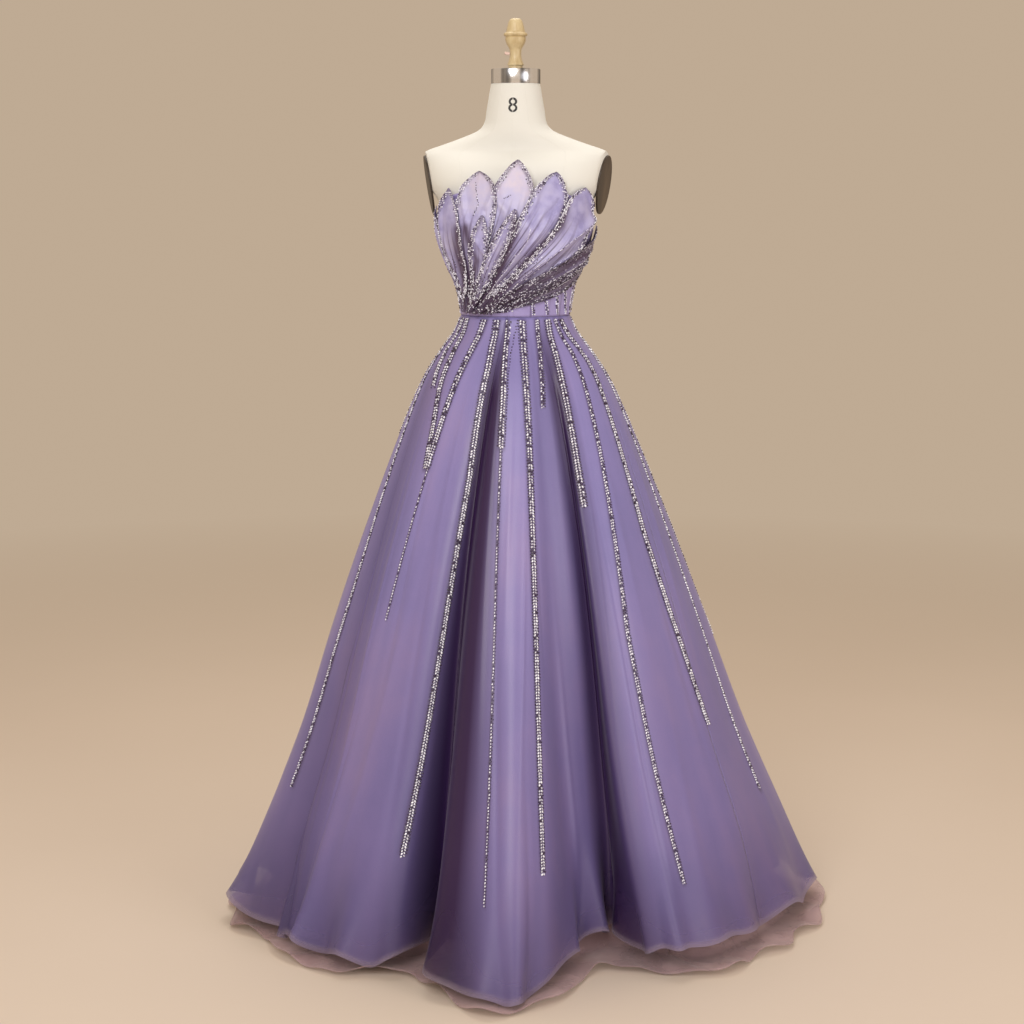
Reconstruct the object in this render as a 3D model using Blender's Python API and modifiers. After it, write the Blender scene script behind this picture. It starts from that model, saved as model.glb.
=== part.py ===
"""A strapless prom gown with a petal bodice and a full organza skirt, on a limbless dress form.

The gown faces -Y and stands on its form's round base, with the origin on the floor at the
stand's axis. Left and right are the wearer's, so the left side is at +X. Angles around the
body start at the centre front and grow towards the left.
"""

import math
from collections import namedtuple

import bmesh
import bpy
from mathutils import Matrix, Vector

# Driving heights, metres above the floor
TOP_OF_FORM = 1.820
NECK_TOP = 1.692
WAIST_Z = 1.235
FORM_BOTTOM = 0.950

# Cloth walls and the air between layers
BODICE_WALL = 0.0020
PETAL_WALL = 0.0011
ORGANZA_WALL = 0.0015
UNDERSKIRT_WALL = 0.0015
TULLE_WALL = 0.0010
SEAM_GAP = 0.0003
FORM_GAP = 0.0062          # bodice face to form, through the bodice wall
PETAL_STEP = 0.0029        # from one layer of petals to the next
PETAL_LIFT = 0.0022        # lowest petals above the bodice face

# The bodice's outer face at each height
Girth = namedtuple("Girth", "z half_width front back")
BODICE_GIRTHS = (
    Girth(1.235, 0.1105, 0.0955, 0.0950),   # waist seam
    Girth(1.263, 0.1140, 0.1000, 0.0945),
    Girth(1.303, 0.1225, 0.1110, 0.0945),
    Girth(1.343, 0.1390, 0.1240, 0.0970),
    Girth(1.384, 0.1525, 0.1340, 0.1010),
    Girth(1.424, 0.1585, 0.1360, 0.1040),   # fullest line
    Girth(1.464, 0.1570, 0.1290, 0.1050),
    Girth(1.500, 0.1515, 0.1180, 0.1040),
    Girth(1.545, 0.1450, 0.1060, 0.1000),
)
FULLEST_Z = 1.424
CUP_ANGLE, CUP_Z = 30.0, 1.398
CUP_SPREAD, CUP_HEIGHT, CUP_RISE = 19.0, 0.045, 0.006

# The form below the waist and above the bodice's fullest line
TORSO_SIDES = 30
FORM_HIPS = (
    Girth(0.950, 0.150, 0.104, 0.120),
    Girth(1.020, 0.160, 0.110, 0.134),
    Girth(1.080, 0.153, 0.108, 0.128),
    Girth(1.150, 0.126, 0.098, 0.106),
    Girth(1.200, 0.108, 0.091, 0.089),
)
FORM_CHEST = (
    Girth(1.440, 0.1500, 0.126, 0.1000),
    Girth(1.460, 0.1540, 0.116, 0.1030),
    Girth(1.478, 0.1660, 0.108, 0.1050),
    Girth(1.495, 0.1760, 0.101, 0.1050),
    Girth(1.515, 0.1820, 0.090, 0.1030),
    Girth(1.535, 0.1860, 0.076, 0.0980),
    Girth(1.552, 0.1890, 0.058, 0.0880),
    Girth(1.562, 0.1780, 0.049, 0.0790),
    Girth(1.574, 0.1430, 0.049, 0.0730),
    Girth(1.588, 0.1040, 0.052, 0.0690),
    Girth(1.600, 0.0760, 0.054, 0.0660),
    Girth(1.614, 0.0630, 0.054, 0.0620),
    Girth(1.640, 0.0580, 0.052, 0.0570),
    Girth(1.692, 0.0490, 0.048, 0.0500),
)

# Bodice panels: from one seam angle to the next, in degrees
BODICE_SEAMS = {
    "bodice_back_right": (-180, -139),
    "bodice_side_back_right": (-139, -97),
    "bodice_side_front_right": (-97, -58),
    "bodice_front_right": (-58, -21),
    "bodice_front_centre": (-21, 21),
    "bodice_front_left": (21, 58),
    "bodice_side_front_left": (58, 97),
    "bodice_side_back_left": (97, 139),
    "bodice_back_left": (139, 180),
}
BODICE_COLUMNS, BODICE_ROWS = 4, 7
TopEdge = namedtuple("TopEdge", "angle z")
BODICE_TOP = (
    TopEdge(0, 1.482),
    TopEdge(45, 1.476),
    TopEdge(70, 1.446),
    TopEdge(92, 1.424),
    TopEdge(130, 1.418),
    TopEdge(180, 1.408),
)

# Petals and drapes: where each leaves the gather, its bend and its tip (degrees, metres),
# its greatest half width, how far along that comes, how round the tip is, and its layer
Petal = namedtuple(
    "Petal", "name base_angle bend_angle bend_z tip_angle tip_z half_width widest tip_power layer"
)
GATHER_Z = 1.2425
BASE_HALF_WIDTH, TIP_HALF_WIDTH = 0.0024, 0.0006
FLAT_REACH = 0.14          # a petal is laid out flat with this many metres to a radian
PETAL_COLUMNS = 4
PETAL_STEPS = (0.0, 0.05, 0.12, 0.22, 0.33, 0.45, 0.58, 0.72, 0.86, 1.0)
PETALS = (
    Petal("petal_1", -58.0, -72, 1.330, -74, 1.452, 0.0250, 0.66, 1.6, 0),
    Petal("petal_2", -53.0, -48, 1.330, -47.5, 1.487, 0.0370, 0.68, 1.8, 2),
    Petal("petal_3", -48.5, -23, 1.350, -22, 1.520, 0.0385, 0.78, 3.0, 1),
    Petal("petal_4", -46.0, -22, 1.300, -17, 1.435, 0.0200, 0.66, 1.7, 2),
    Petal("petal_5", -43.5, 2, 1.360, 6.5, 1.542, 0.0380, 0.78, 1.7, 0),
    Petal("petal_6", -41.0, -10, 1.330, 5, 1.447, 0.0150, 0.62, 2.0, 3),
    Petal("petal_7", -38.5, 20, 1.360, 35, 1.518, 0.0350, 0.76, 2.4, 1),
    Petal("petal_8", -36.0, 48, 1.330, 62, 1.488, 0.0410, 0.80, 2.4, 2),
)
DRAPES = (
    Petal("drape_1", -33.5, 48, 1.325, 97, 1.412, 0.0270, 1.0, 2.0, 3),
    Petal("drape_2", -31.0, 48, 1.302, 97, 1.382, 0.0260, 1.0, 2.0, 1),
    Petal("drape_3", -28.5, 48, 1.278, 97, 1.352, 0.0240, 1.0, 2.0, 0),
)

# The skirt's outline: greatest half width and the depth for it at each height
Flare = namedtuple("Flare", "z half_width roundness")
SKIRT_FLARE = (
    Flare(0.000, 0.605, 1.00),
    Flare(0.060, 0.584, 1.00),
    Flare(0.200, 0.534, 1.00),
    Flare(0.400, 0.453, 1.00),
    Flare(0.600, 0.385, 0.99),
    Flare(0.800, 0.313, 0.98),
    Flare(1.000, 0.236, 0.95),
    Flare(1.110, 0.187, 0.92),
    Flare(1.170, 0.148, 0.89),
    Flare(1.200, 0.126, 0.88),
    Flare(1.235, 0.1095, 0.872),
)

# The folds all round: angle at the waist, then angle, reach and height at the hem.
# Where the hem angle turns back, a fold laps over the next one.
Fold = namedtuple("Fold", "place waist hem reach height")
FOLDS = (
    Fold("centre back", -180, -180, 0.585, 0.022),
    Fold("valley", -170, -168, 0.525, 0.026),
    Fold("crest", -158, -156, 0.595, 0.018),
    Fold("crest", -147, -147, 0.580, 0.020),
    Fold("valley", -138, -138, 0.485, 0.030),
    Fold("crest", -128, -127, 0.590, 0.020),
    Fold("crest", -118, -116, 0.582, 0.022),
    Fold("valley", -109, -104, 0.515, 0.032),
    Fold("side crest", -101, -92, 0.580, 0.028),
    Fold("side", -93, -80, 0.588, 0.028),
    Fold("side", -84, -68, 0.600, 0.028),
    Fold("behind the lap", -77, -47, 0.515, 0.034),
    Fold("lap edge", -72, -52.5, 0.568, 0.028),
    Fold("front right crest", -54, -48.5, 0.562, 0.025),
    Fold("front right", -33, -44.5, 0.558, 0.024),
    Fold("front right middle", -21, -34, 0.552, 0.022),
    Fold("front right shoulder", -12.5, -24, 0.527, 0.024),
    Fold("deep valley", -6, -18, 0.390, 0.050),
    Fold("centre edge", -3.8, -11.5, 0.552, 0.022),
    Fold("centre crest", -2.5, -2, 0.605, 0.018),
    Fold("centre crest", 9, 4.5, 0.628, 0.017),
    Fold("centre shoulder", 15, 10.5, 0.565, 0.020),
    Fold("dip", 20, 18, 0.435, 0.030),
    Fold("left shoulder", 24, 26, 0.400, 0.045),
    Fold("left valley", 30, 35, 0.375, 0.050),
    Fold("lap edge", 37, 32.5, 0.485, 0.042),
    Fold("front left crest", 47, 37.5, 0.520, 0.038),
    Fold("front left", 58, 43, 0.535, 0.038),
    Fold("front left", 68, 55, 0.545, 0.042),
    Fold("front left", 77, 66, 0.560, 0.042),
    Fold("side", 88, 78, 0.580, 0.038),
    Fold("side", 98, 91, 0.608, 0.034),
    Fold("side", 108, 104, 0.600, 0.030),
    Fold("valley", 118, 115, 0.510, 0.034),
    Fold("crest", 129, 127, 0.598, 0.022),
    Fold("crest", 140, 139, 0.588, 0.020),
    Fold("valley", 149, 149, 0.505, 0.028),
    Fold("crest", 160, 159, 0.598, 0.018),
    Fold("crest", 170, 170, 0.578, 0.022),
)
FOLD_GROWTH = 0.8          # how soon below the waist the folds reach their depth
WAIST_REACH, HEM_REACH = 0.11, 0.60
SWAY = 0.015               # how far the hem has drifted to the left of the waist

# Skirt gores, from one fold's number to another's with their columns: the seams lie in the valleys
Gore = namedtuple("Gore", "name first last columns")
GORES = (
    Gore("skirt_back_right", 0, 4, 10),
    Gore("skirt_side_back_right", 4, 7, 8),
    Gore("skirt_side_right", 7, 11, 11),
    Gore("skirt_front_right", 11, 17, 18),
    Gore("skirt_front_centre", 17, 24, 21),
    Gore("skirt_front_left", 24, 29, 14),
    Gore("skirt_side_left", 29, 33, 10),
    Gore("skirt_side_back_left", 33, 36, 8),
    Gore("skirt_back_left", 36, 39, 8),
)
SKIRT_STEPS = (0.0, 0.045, 0.105, 0.2, 0.34, 0.5, 0.68, 0.85, 1.0)
UNDER_QUARTERS = {"front": -45, "left": 45, "back": 135, "right": 225}
UNDER_COLUMNS = 12
UNDER_STEPS = (0.0, 0.048, 0.111, 0.212, 0.36, 0.6, 1.0)
UNDERSKIRT_HEM = 0.090
TULLE_TOP, TULLE_BEND, TULLE_FLOOR, TULLE_HEM = 0.300, 0.086, 0.0125, 0.0045
TULLE_COLUMNS = 15

# Zip at the centre back, in the gap between the back panels and the back gores
ZIP_WIDTH, ZIP_THICK = 0.0064, 0.0014
ZIP_BOTTOM_SHARE = 0.105   # how far down the skirt it runs
SLIDER = Vector((0.0090, 0.0026, 0.0110))
PULL_PIVOT_OUT = 0.0062    # pivot from the bodice face
PULL_PIVOT_R = 0.0006
PULL_LENGTH, PULL_WIDTH, PULL_THICK = 0.026, 0.0050, 0.0014

# Stand and neck fittings
BASE_R, BASE_THICK = 0.210, 0.014
POLE_R = 0.0150
ARM_PLATE_TURN, ARM_PLATE_TILT = 13.0, 9.0
ARM_PLATE_Z = 1.494
ARM_PLATE_X = 0.1745
ARM_PLATE_HALF = (0.041, 0.059)
ARM_PLATE_THICK = 0.004

# Colours from the photograph (linear light), with roughness and metallic value
Finish = namedtuple("Finish", "colour roughness metallic")
FINISHES = {
    "linen": Finish((0.82, 0.80, 0.72), 0.85, 0.0),
    "chrome": Finish((0.70, 0.71, 0.74), 0.12, 1.0),
    "wood": Finish((0.72, 0.52, 0.28), 0.50, 0.0),
    "peg": Finish((0.75, 0.58, 0.52), 0.50, 0.0),
    "arm_plate": Finish((0.10, 0.07, 0.05), 0.45, 0.0),
    "steel": Finish((0.25, 0.25, 0.26), 0.35, 1.0),
    "bodice": Finish((0.42, 0.34, 0.58), 0.55, 0.0),
    "petal": Finish((0.40, 0.33, 0.62), 0.50, 0.0),
    "organza": Finish((0.33, 0.24, 0.55), 0.55, 0.0),
    "underskirt": Finish((0.26, 0.17, 0.42), 0.50, 0.0),
    "tulle": Finish((0.50, 0.34, 0.40), 0.70, 0.0),
    "zip": Finish((0.55, 0.50, 0.62), 0.35, 0.6),
}


def clear_scene():
    for item in list(bpy.data.objects):
        bpy.data.objects.remove(item, do_unlink=True)


def finish(name):
    """The material of that name, made at its first use."""
    found = bpy.data.materials.get(name)
    if found:
        return found
    made = bpy.data.materials.new(name)
    made.use_nodes = True
    shader = made.node_tree.nodes["Principled BSDF"]
    colour, roughness, metallic = FINISHES[name]
    shader.inputs["Base Color"].default_value = (*colour, 1.0)
    shader.inputs["Roughness"].default_value = roughness
    shader.inputs["Metallic"].default_value = metallic
    return made


def add_object(name, data, material, collection):
    """Puts a mesh or curve in the collection as a named object with its material."""
    data.materials.append(finish(material))
    made = bpy.data.objects.new(name, data)
    collection.objects.link(made)
    return made


def mesh_from(bm, name, smooth_angle=40.0):
    """Turns a bmesh into a mesh, smooth but for edges sharper than the angle."""
    mesh = bpy.data.meshes.new(name)
    bm.to_mesh(mesh)
    bm.free()
    mesh.shade_smooth()
    mesh.set_sharp_from_angle(angle=math.radians(smooth_angle))
    return mesh


def through(rows, key, column, at):
    """A smooth curve through one column of a table, read at a value of its key column."""
    keys = [getattr(row, key) for row in rows]
    values = [getattr(row, column) for row in rows]
    at = min(max(at, keys[0]), keys[-1])
    last = len(rows) - 1
    i = max(k for k in range(last) if keys[k] <= at or k == 0)
    width = keys[i + 1] - keys[i]

    def slope(k):
        low, high = max(0, k - 1), min(last, k + 1)
        return (values[high] - values[low]) / (keys[high] - keys[low])

    t = (at - keys[i]) / width
    return (
        (2 * t**3 - 3 * t**2 + 1) * values[i]
        + (t**3 - 2 * t**2 + t) * width * slope(i)
        + (3 * t**2 - 2 * t**3) * values[i + 1]
        + (t**3 - t**2) * width * slope(i + 1)
    )


def wall(name, point, columns, steps, thickness, material, collection):
    """A cloth wall: a grid laid on point(u, v), then thickened inwards along its own normal.

    Columns are equal shares of u, and steps lists the v of each row.
    """
    bm = bmesh.new()
    rows = len(steps) - 1
    bmesh.ops.create_grid(bm, x_segments=columns, y_segments=rows, size=0.5)
    near = 1e-3

    def inward(u, v):
        low_v, high_v = max(v - near, 0.0), min(v + near, 1.0)
        across = point(u + near, v) - point(u - near, v)
        down = point(u, high_v) - point(u, low_v)
        return across.cross(down).normalized()

    moves = {}
    for vertex in bm.verts:
        u = round((vertex.co.x + 0.5) * columns) / columns
        v = steps[round((vertex.co.y + 0.5) * rows)]
        vertex.co = point(u, v)
        moves[vertex.index] = inward(u, v) * thickness
    grown = bmesh.ops.extrude_face_region(bm, geom=bm.faces[:])["geom"]
    inner = [item for item in grown if isinstance(item, bmesh.types.BMVert)]
    # The extruded points come in the order of the old ones, so each is matched by its place.
    outer = [v for v in bm.verts if v.index in moves and v not in inner]
    by_place = {tuple(v.co): moves[v.index] for v in outer}
    for vertex in inner:
        vertex.co += by_place[tuple(vertex.co)]
    bmesh.ops.recalc_face_normals(bm, faces=bm.faces[:])
    # A deeply folded wall can come out of that with every face turned in.
    if bm.calc_volume(signed=True) < 0:
        bmesh.ops.reverse_faces(bm, faces=bm.faces[:])
    return add_object(name, mesh_from(bm, name), material, collection)


def bodice_point(angle, z, out=0.0):
    """A point on the bodice's outer face, or that far outside it; the angle is in degrees."""
    turn = math.radians(angle)
    cups = sum(
        math.exp(-((angle - side * CUP_ANGLE) / CUP_SPREAD) ** 2 - ((z - CUP_Z) / CUP_HEIGHT) ** 2)
        for side in (-1, 1)
    )
    out += CUP_RISE * cups
    depth = "front" if math.cos(turn) > 0 else "back"
    half_width = through(BODICE_GIRTHS, "z", "half_width", z) + out
    half_depth = through(BODICE_GIRTHS, "z", depth, z) + out
    return Vector((half_width * math.sin(turn), -half_depth * math.cos(turn), z))


def degrees_for(length, angle, z):
    """How many degrees round the bodice a length is, at that place."""
    step = bodice_point(angle + 0.5, z) - bodice_point(angle - 0.5, z)
    return length / step.length


def make_bodice(collection):
    """Nine boned panels, each from seam to seam and from the waist to the top edge."""
    for name, (first, last) in BODICE_SEAMS.items():

        def point(u, v, first=first, last=last):
            angle = first + u * (last - first)
            top = through(BODICE_TOP, "angle", "z", abs(angle))
            z = top + v * (WAIST_Z + SEAM_GAP - top)
            gap_first = ZIP_WIDTH / 2 + SEAM_GAP if first == -180 else SEAM_GAP / 2
            gap_last = ZIP_WIDTH / 2 + SEAM_GAP if last == 180 else SEAM_GAP / 2
            low = first + degrees_for(gap_first, first, z)
            high = last - degrees_for(gap_last, last, z)
            return bodice_point(low + u * (high - low), z)

        steps = [k / BODICE_ROWS for k in range(BODICE_ROWS + 1)]
        wall(name, point, BODICE_COLUMNS, steps, BODICE_WALL, "bodice", collection)


def petal_half_width(petal, s):
    """Half width along a petal: narrow at the gather, widest near the tip, then closing."""
    if s <= petal.widest:
        rise = max(math.sin(math.pi / 2 * s / petal.widest), 0.0) ** 1.3
        return BASE_HALF_WIDTH + (petal.half_width - BASE_HALF_WIDTH) * rise
    beyond = (s - petal.widest) / (1 - petal.widest)
    return TIP_HALF_WIDTH + (petal.half_width - TIP_HALF_WIDTH) * (1 - beyond**petal.tip_power)


def petal_point(petal, across, s, out=0.0):
    """A point on a petal: across runs from -1 to 1, and s from the gather to the tip."""
    reach = FLAT_REACH
    def place(t):
        from_base, from_bend = (1 - t) ** 2, 2 * t * (1 - t)
        angle = from_base * petal.base_angle + from_bend * petal.bend_angle + t**2 * petal.tip_angle
        z = from_base * GATHER_Z + from_bend * petal.bend_z + t**2 * petal.tip_z
        return Vector((math.radians(angle) * reach, z))

    near = 0.01
    middle = place(s)
    along = (place(min(s + near, 1.0)) - place(max(s - near, 0.0))).normalized()
    side = Vector((along.y, -along.x)) * across * petal_half_width(petal, s)
    laid = middle + side
    lift = PETAL_LIFT + petal.layer * PETAL_STEP + PETAL_WALL + out
    return bodice_point(math.degrees(laid.x / reach), laid.y, lift)


def make_petals(collection):
    """Leaf-shaped petals and long drapes, in four layers so that each clears its neighbours."""
    for petal in PETALS + DRAPES:

        def point(u, v, petal=petal):
            return petal_point(petal, 2 * u - 1, 1 - v)

        wall(petal.name, point, PETAL_COLUMNS, PETAL_STEPS, PETAL_WALL, "petal", collection)


def fold_value(u, column):
    """One column of the fold table at a fold number, as a smooth closed curve."""
    count = len(FOLDS)
    i = math.floor(u)
    t = u - i

    def value(k):
        turns, row = divmod(k, count)
        whole = 360 * turns if column in ("waist", "hem") else 0
        return getattr(FOLDS[row], column) + whole

    before, start, end, after = (value(i + k) for k in (-1, 0, 1, 2))
    return 0.5 * (
        2 * start
        + (end - before) * t
        + (2 * before - 5 * start + 4 * end - after) * t**2
        + (3 * start - before - 3 * end + after) * t**3
    )


def cone_reach(angle, z):
    """The skirt's outline from the axis, with no folds."""
    wide = through(SKIRT_FLARE, "z", "half_width", z)
    deep = wide * through(SKIRT_FLARE, "z", "roundness", z)
    turn = math.radians(angle)
    return 1 / math.hypot(math.sin(turn) / wide, math.cos(turn) / deep)


def skirt_polar(u, t):
    """Angle, reach and height of the organza at fold u, a share t of the way down."""
    hem_height = fold_value(u, "height")
    z = WAIST_Z - SEAM_GAP - t * (WAIST_Z - SEAM_GAP - hem_height)
    share = t * HEM_REACH / (t * HEM_REACH + (1 - t) * WAIST_REACH)
    angle = (1 - share) * fold_value(u, "waist") + share * fold_value(u, "hem")
    depth = fold_value(u, "reach") / cone_reach(angle, hem_height) - 1
    return angle, cone_reach(angle, z) * (1 + depth * t**FOLD_GROWTH), z


def polar(angle, reach, z):
    """A point of the skirt from its angle and reach; the hem sits a little to the left of the waist."""
    turn = math.radians(angle)
    sway = SWAY * (WAIST_Z - z) / WAIST_Z
    return Vector((reach * math.sin(turn) + sway, -reach * math.cos(turn), z))


def skirt_point(u, t):
    return polar(*skirt_polar(u, t))


def make_skirt(collection):
    """Nine gores; the back two leave room for the zip as far down as it runs."""
    for name, first, last, columns in GORES:

        def point(u, t, first=first, last=last):
            step = 0.02
            zipped = t <= ZIP_BOTTOM_SHARE + 1e-6
            wide = ZIP_WIDTH / 2 + SEAM_GAP
            gap_first = wide if first == 0 and zipped else SEAM_GAP / 2
            gap_last = wide if last == len(FOLDS) and zipped else SEAM_GAP / 2
            first_step = (skirt_point(first + step, t) - skirt_point(first, t)).length
            last_step = (skirt_point(last, t) - skirt_point(last - step, t)).length
            low = first + gap_first * step / first_step
            high = last - gap_last * step / last_step
            return skirt_point(low + u * (high - low), t)

        wall(name, point, columns, SKIRT_STEPS, ORGANZA_WALL, "organza", collection)


def organza_reach(t, pick):
    """The organza's reach at each whole degree, the least or the mean nearby, at a share t down."""
    count = 8 * len(FOLDS)
    samples = [skirt_polar(k / 8, t)[:2] for k in range(count)]
    spread = 7

    def near(angle):
        found = [r for a, r in samples if abs((a - angle + 180) % 360 - 180) <= spread]
        return pick(found)

    rough = [near(angle) for angle in range(0, 360, 3)]
    size = len(rough)
    weights = ((-2, 1), (-1, 3), (0, 4), (1, 3), (2, 1))
    return [sum(rough[(k + j) % size] * weight for j, weight in weights) / 12 for k in range(size)]


def ring_value(ring, angle):
    """A value from a ring of numbers, 3 degrees apart, between its own two neighbours."""
    place = (angle % 360) / 3
    i = math.floor(place)
    t = place - i
    return ring[i % len(ring)] * (1 - t) + ring[(i + 1) % len(ring)] * t


def make_layers(collection):
    """The underskirt, and the tulle flounce that spreads on the floor below the organza."""
    rings = 12
    inner = [organza_reach(k / rings, min) for k in range(rings + 1)]
    hem = organza_reach(1.0, lambda found: sum(found) / len(found))

    def under_reach(angle, z):
        t = (WAIST_Z - z) / WAIST_Z * rings
        i = min(int(t), rings - 1)
        low, high = ring_value(inner[i], angle), ring_value(inner[i + 1], angle)
        reach = low + (high - low) * (t - i)
        share = t / rings
        air = 0.0008 + 0.0035 * min(share / 0.02, 1.0) + 0.020 * share
        return min(reach, cone_reach(angle, z)) - ORGANZA_WALL - air

    for side, start in UNDER_QUARTERS.items():

        def under(u, v, start=start):
            z = WAIST_Z - SEAM_GAP + v * (UNDERSKIRT_HEM - WAIST_Z + SEAM_GAP)
            inset = math.degrees(SEAM_GAP / 2 / under_reach(start, z))
            angle = start + inset + u * (90 - 2 * inset)
            return polar(angle, under_reach(angle, z), z)

        name = f"underskirt_{side}"
        wall(name, under, UNDER_COLUMNS, UNDER_STEPS, UNDERSKIRT_WALL, "underskirt", collection)

        def flounce(u, v, start=start):
            inset = math.degrees(SEAM_GAP / 2 / 0.45)
            angle = start + inset + u * (90 - 2 * inset)
            heights = (TULLE_TOP, TULLE_BEND, TULLE_FLOOR, TULLE_HEM)
            spread = 0.012 + 0.014 * math.cos(math.radians(angle - 40))
            reaches = (
                under_reach(angle, TULLE_TOP) - 0.030,
                under_reach(angle, TULLE_BEND) - 0.026,
                min(under_reach(angle, 0.040) + 0.010, ring_value(hem, angle)),
                ring_value(hem, angle) + spread,
            )
            place = min(v * 3, 2.999999)
            i = int(place)
            t = place - i
            return polar(
                angle,
                reaches[i] + (reaches[i + 1] - reaches[i]) * t,
                heights[i] + (heights[i + 1] - heights[i]) * t,
            )

        steps = [0, 1 / 3, 2 / 3, 1]
        wall(f"tulle_{side}", flounce, TULLE_COLUMNS, steps, TULLE_WALL, "tulle", collection)


def zip_path(v):
    """The centre-back line from the top edge down over the waist and onto the skirt."""
    top = through(BODICE_TOP, "angle", "z", 180) - 0.004
    bottom = skirt_point(0, ZIP_BOTTOM_SHARE).z + 0.003
    z = top + v * (bottom - top)
    if z >= WAIST_Z:
        return bodice_point(180, z)
    t = (WAIST_Z - z) / (WAIST_Z - fold_value(0, "height"))
    return skirt_point(0, t)


def make_zip(collection):
    """A closed chain up the centre back, its slider at the top and a pull tab that swings."""

    def point(u, v):
        return zip_path(v) + Vector(((0.5 - u) * ZIP_WIDTH, 0.0001, 0.0))

    steps = [k / 14 for k in range(15)]
    wall("zip_chain", point, 1, steps, ZIP_THICK, "zip", collection)

    top = zip_path(0.045)
    face = top.y + SEAM_GAP + 0.0001
    pivot = Vector((0.0, top.y + PULL_PIVOT_OUT, top.z))
    bm = bmesh.new()
    block(bm, Vector((0, face + SLIDER.y / 2, top.z - 0.002)), SLIDER)
    bmesh.ops.bevel(
        bm, geom=bm.edges[:], offset=0.0006, segments=1, affect="EDGES", profile=0.5, material=-1
    )
    slider = add_object("zip_slider", mesh_from(bm, "zip_slider"), "zip", collection)

    lug_x = PULL_WIDTH / 2 + 0.0004
    lug_depth = pivot.y - face
    for side in (-1, 1):
        lug = bmesh.new()
        size = Vector((0.0010, lug_depth + 0.0016, 0.0032))
        middle_y = face + 0.0004 + (lug_depth + 0.0016) / 2
        block(lug, Vector((side * (lug_x + 0.0005), middle_y, pivot.z)), size)
        union(slider, mesh_from(lug, "lug"))
    bar = bmesh.new()
    bmesh.ops.create_cone(
        bar, cap_ends=True, segments=12, radius1=PULL_PIVOT_R, radius2=PULL_PIVOT_R,
        depth=2 * lug_x + 0.0012,
        matrix=Matrix.Translation(pivot) @ Matrix.Rotation(math.radians(90), 4, "Y"),
    )
    union(slider, mesh_from(bar, "bar"))

    tab = bmesh.new()
    size = Vector((PULL_WIDTH, PULL_THICK * 2, PULL_LENGTH))
    low = PULL_LENGTH - 0.0016
    block(tab, pivot + Vector((0, 0, -low / 2 + 0.0008)), size)
    bmesh.ops.bevel(
        tab, geom=tab.edges[:], offset=0.0007, segments=2, affect="EDGES", profile=0.5, material=-1
    )
    bmesh.ops.translate(tab, verts=tab.verts[:], vec=-pivot)
    pull = add_object("zip_pull_tab", mesh_from(tab, "zip_pull_tab"), "zip", collection)
    pull.location = pivot
    hole = bmesh.new()
    bmesh.ops.create_cone(
        hole, cap_ends=True, segments=16, radius1=PULL_PIVOT_R + 0.0002, radius2=PULL_PIVOT_R + 0.0002,
        depth=0.02, matrix=Matrix.Rotation(math.radians(90), 4, "Y"),
    )
    combine(pull, mesh_from(hole, "hole"), "DIFFERENCE")


def block(bm, centre, size):
    """Adds a box of that size at that centre to the bmesh."""
    place = Matrix.Translation(centre) @ Matrix.Diagonal((*size, 1))
    bmesh.ops.create_cube(bm, size=1.0, matrix=place)


def combine(target, mesh, operation):
    """Joins a mesh to an object, or cuts it from it, and keeps the result as its mesh."""
    other = bpy.data.objects.new(mesh.name, mesh)
    bpy.context.scene.collection.objects.link(other)
    other.location = target.location
    if operation == "UNION":
        other.location = (0, 0, 0)
    bpy.context.view_layer.update()
    modifier = target.modifiers.new(operation.title(), "BOOLEAN")
    modifier.operation = operation
    modifier.object = other
    graph = bpy.context.evaluated_depsgraph_get()
    result = bpy.data.meshes.new_from_object(target.evaluated_get(graph))
    target.modifiers.clear()
    target.data = result
    bpy.data.objects.remove(other)


def union(target, mesh):
    combine(target, mesh, "UNION")


def form_point(angle, z):
    """A point on the form: under the bodice a little inside it, and the form's own above and below."""
    turn = math.radians(angle)
    depth = "front" if math.cos(turn) > 0 else "back"
    if WAIST_Z <= z <= FULLEST_Z:
        return bodice_point(angle, z, -FORM_GAP)
    rows = FORM_HIPS if z < WAIST_Z else FORM_CHEST
    wide = through(rows, "z", "half_width", z)
    deep = through(rows, "z", depth, z)
    return Vector((wide * math.sin(turn), -deep * math.cos(turn), z))


def make_torso(collection):
    """The form's torso and neck: rings drawn up one after another, flat where the arms would be."""
    under_bodice = [row.z for row in BODICE_GIRTHS if row.z <= FULLEST_Z]
    heights = [row.z for row in FORM_HIPS] + under_bodice + [row.z for row in FORM_CHEST]
    sides = TORSO_SIDES
    bm = bmesh.new()
    bmesh.ops.create_circle(bm, segments=sides, radius=1.0)
    ring = sorted(bm.verts, key=lambda v: math.atan2(v.co.y, v.co.x))
    edges = bm.edges[:]
    angles = {v: 360 * k / sides - 180 for k, v in enumerate(ring)}
    for vertex in ring:
        vertex.co = form_point(angles[vertex], heights[0])
    bottom = edges
    for z in heights[1:]:
        before = {tuple(v.co): angles[v] for v in angles}
        grown = bmesh.ops.extrude_edge_only(bm, edges=edges)["geom"]
        angles = {v: before[tuple(v.co)] for v in grown if isinstance(v, bmesh.types.BMVert)}
        for vertex, angle in angles.items():
            vertex.co = form_point(angle, z)
        edges = [e for e in grown if isinstance(e, bmesh.types.BMEdge)]
    bmesh.ops.holes_fill(bm, edges=bottom + edges, sides=sides)
    for side in (-1, 1):
        normal, centre = arm_plane(side)
        whole = bm.verts[:] + bm.edges[:] + bm.faces[:]
        cut = bmesh.ops.bisect_plane(
            bm, geom=whole, plane_co=centre, plane_no=normal, clear_outer=True
        )
        rim = [e for e in cut["geom_cut"] if isinstance(e, bmesh.types.BMEdge)]
        bmesh.ops.holes_fill(bm, edges=rim, sides=0)
    bmesh.ops.recalc_face_normals(bm, faces=bm.faces[:])
    add_object("form_torso", mesh_from(bm, "form_torso"), "linen", collection)


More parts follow.
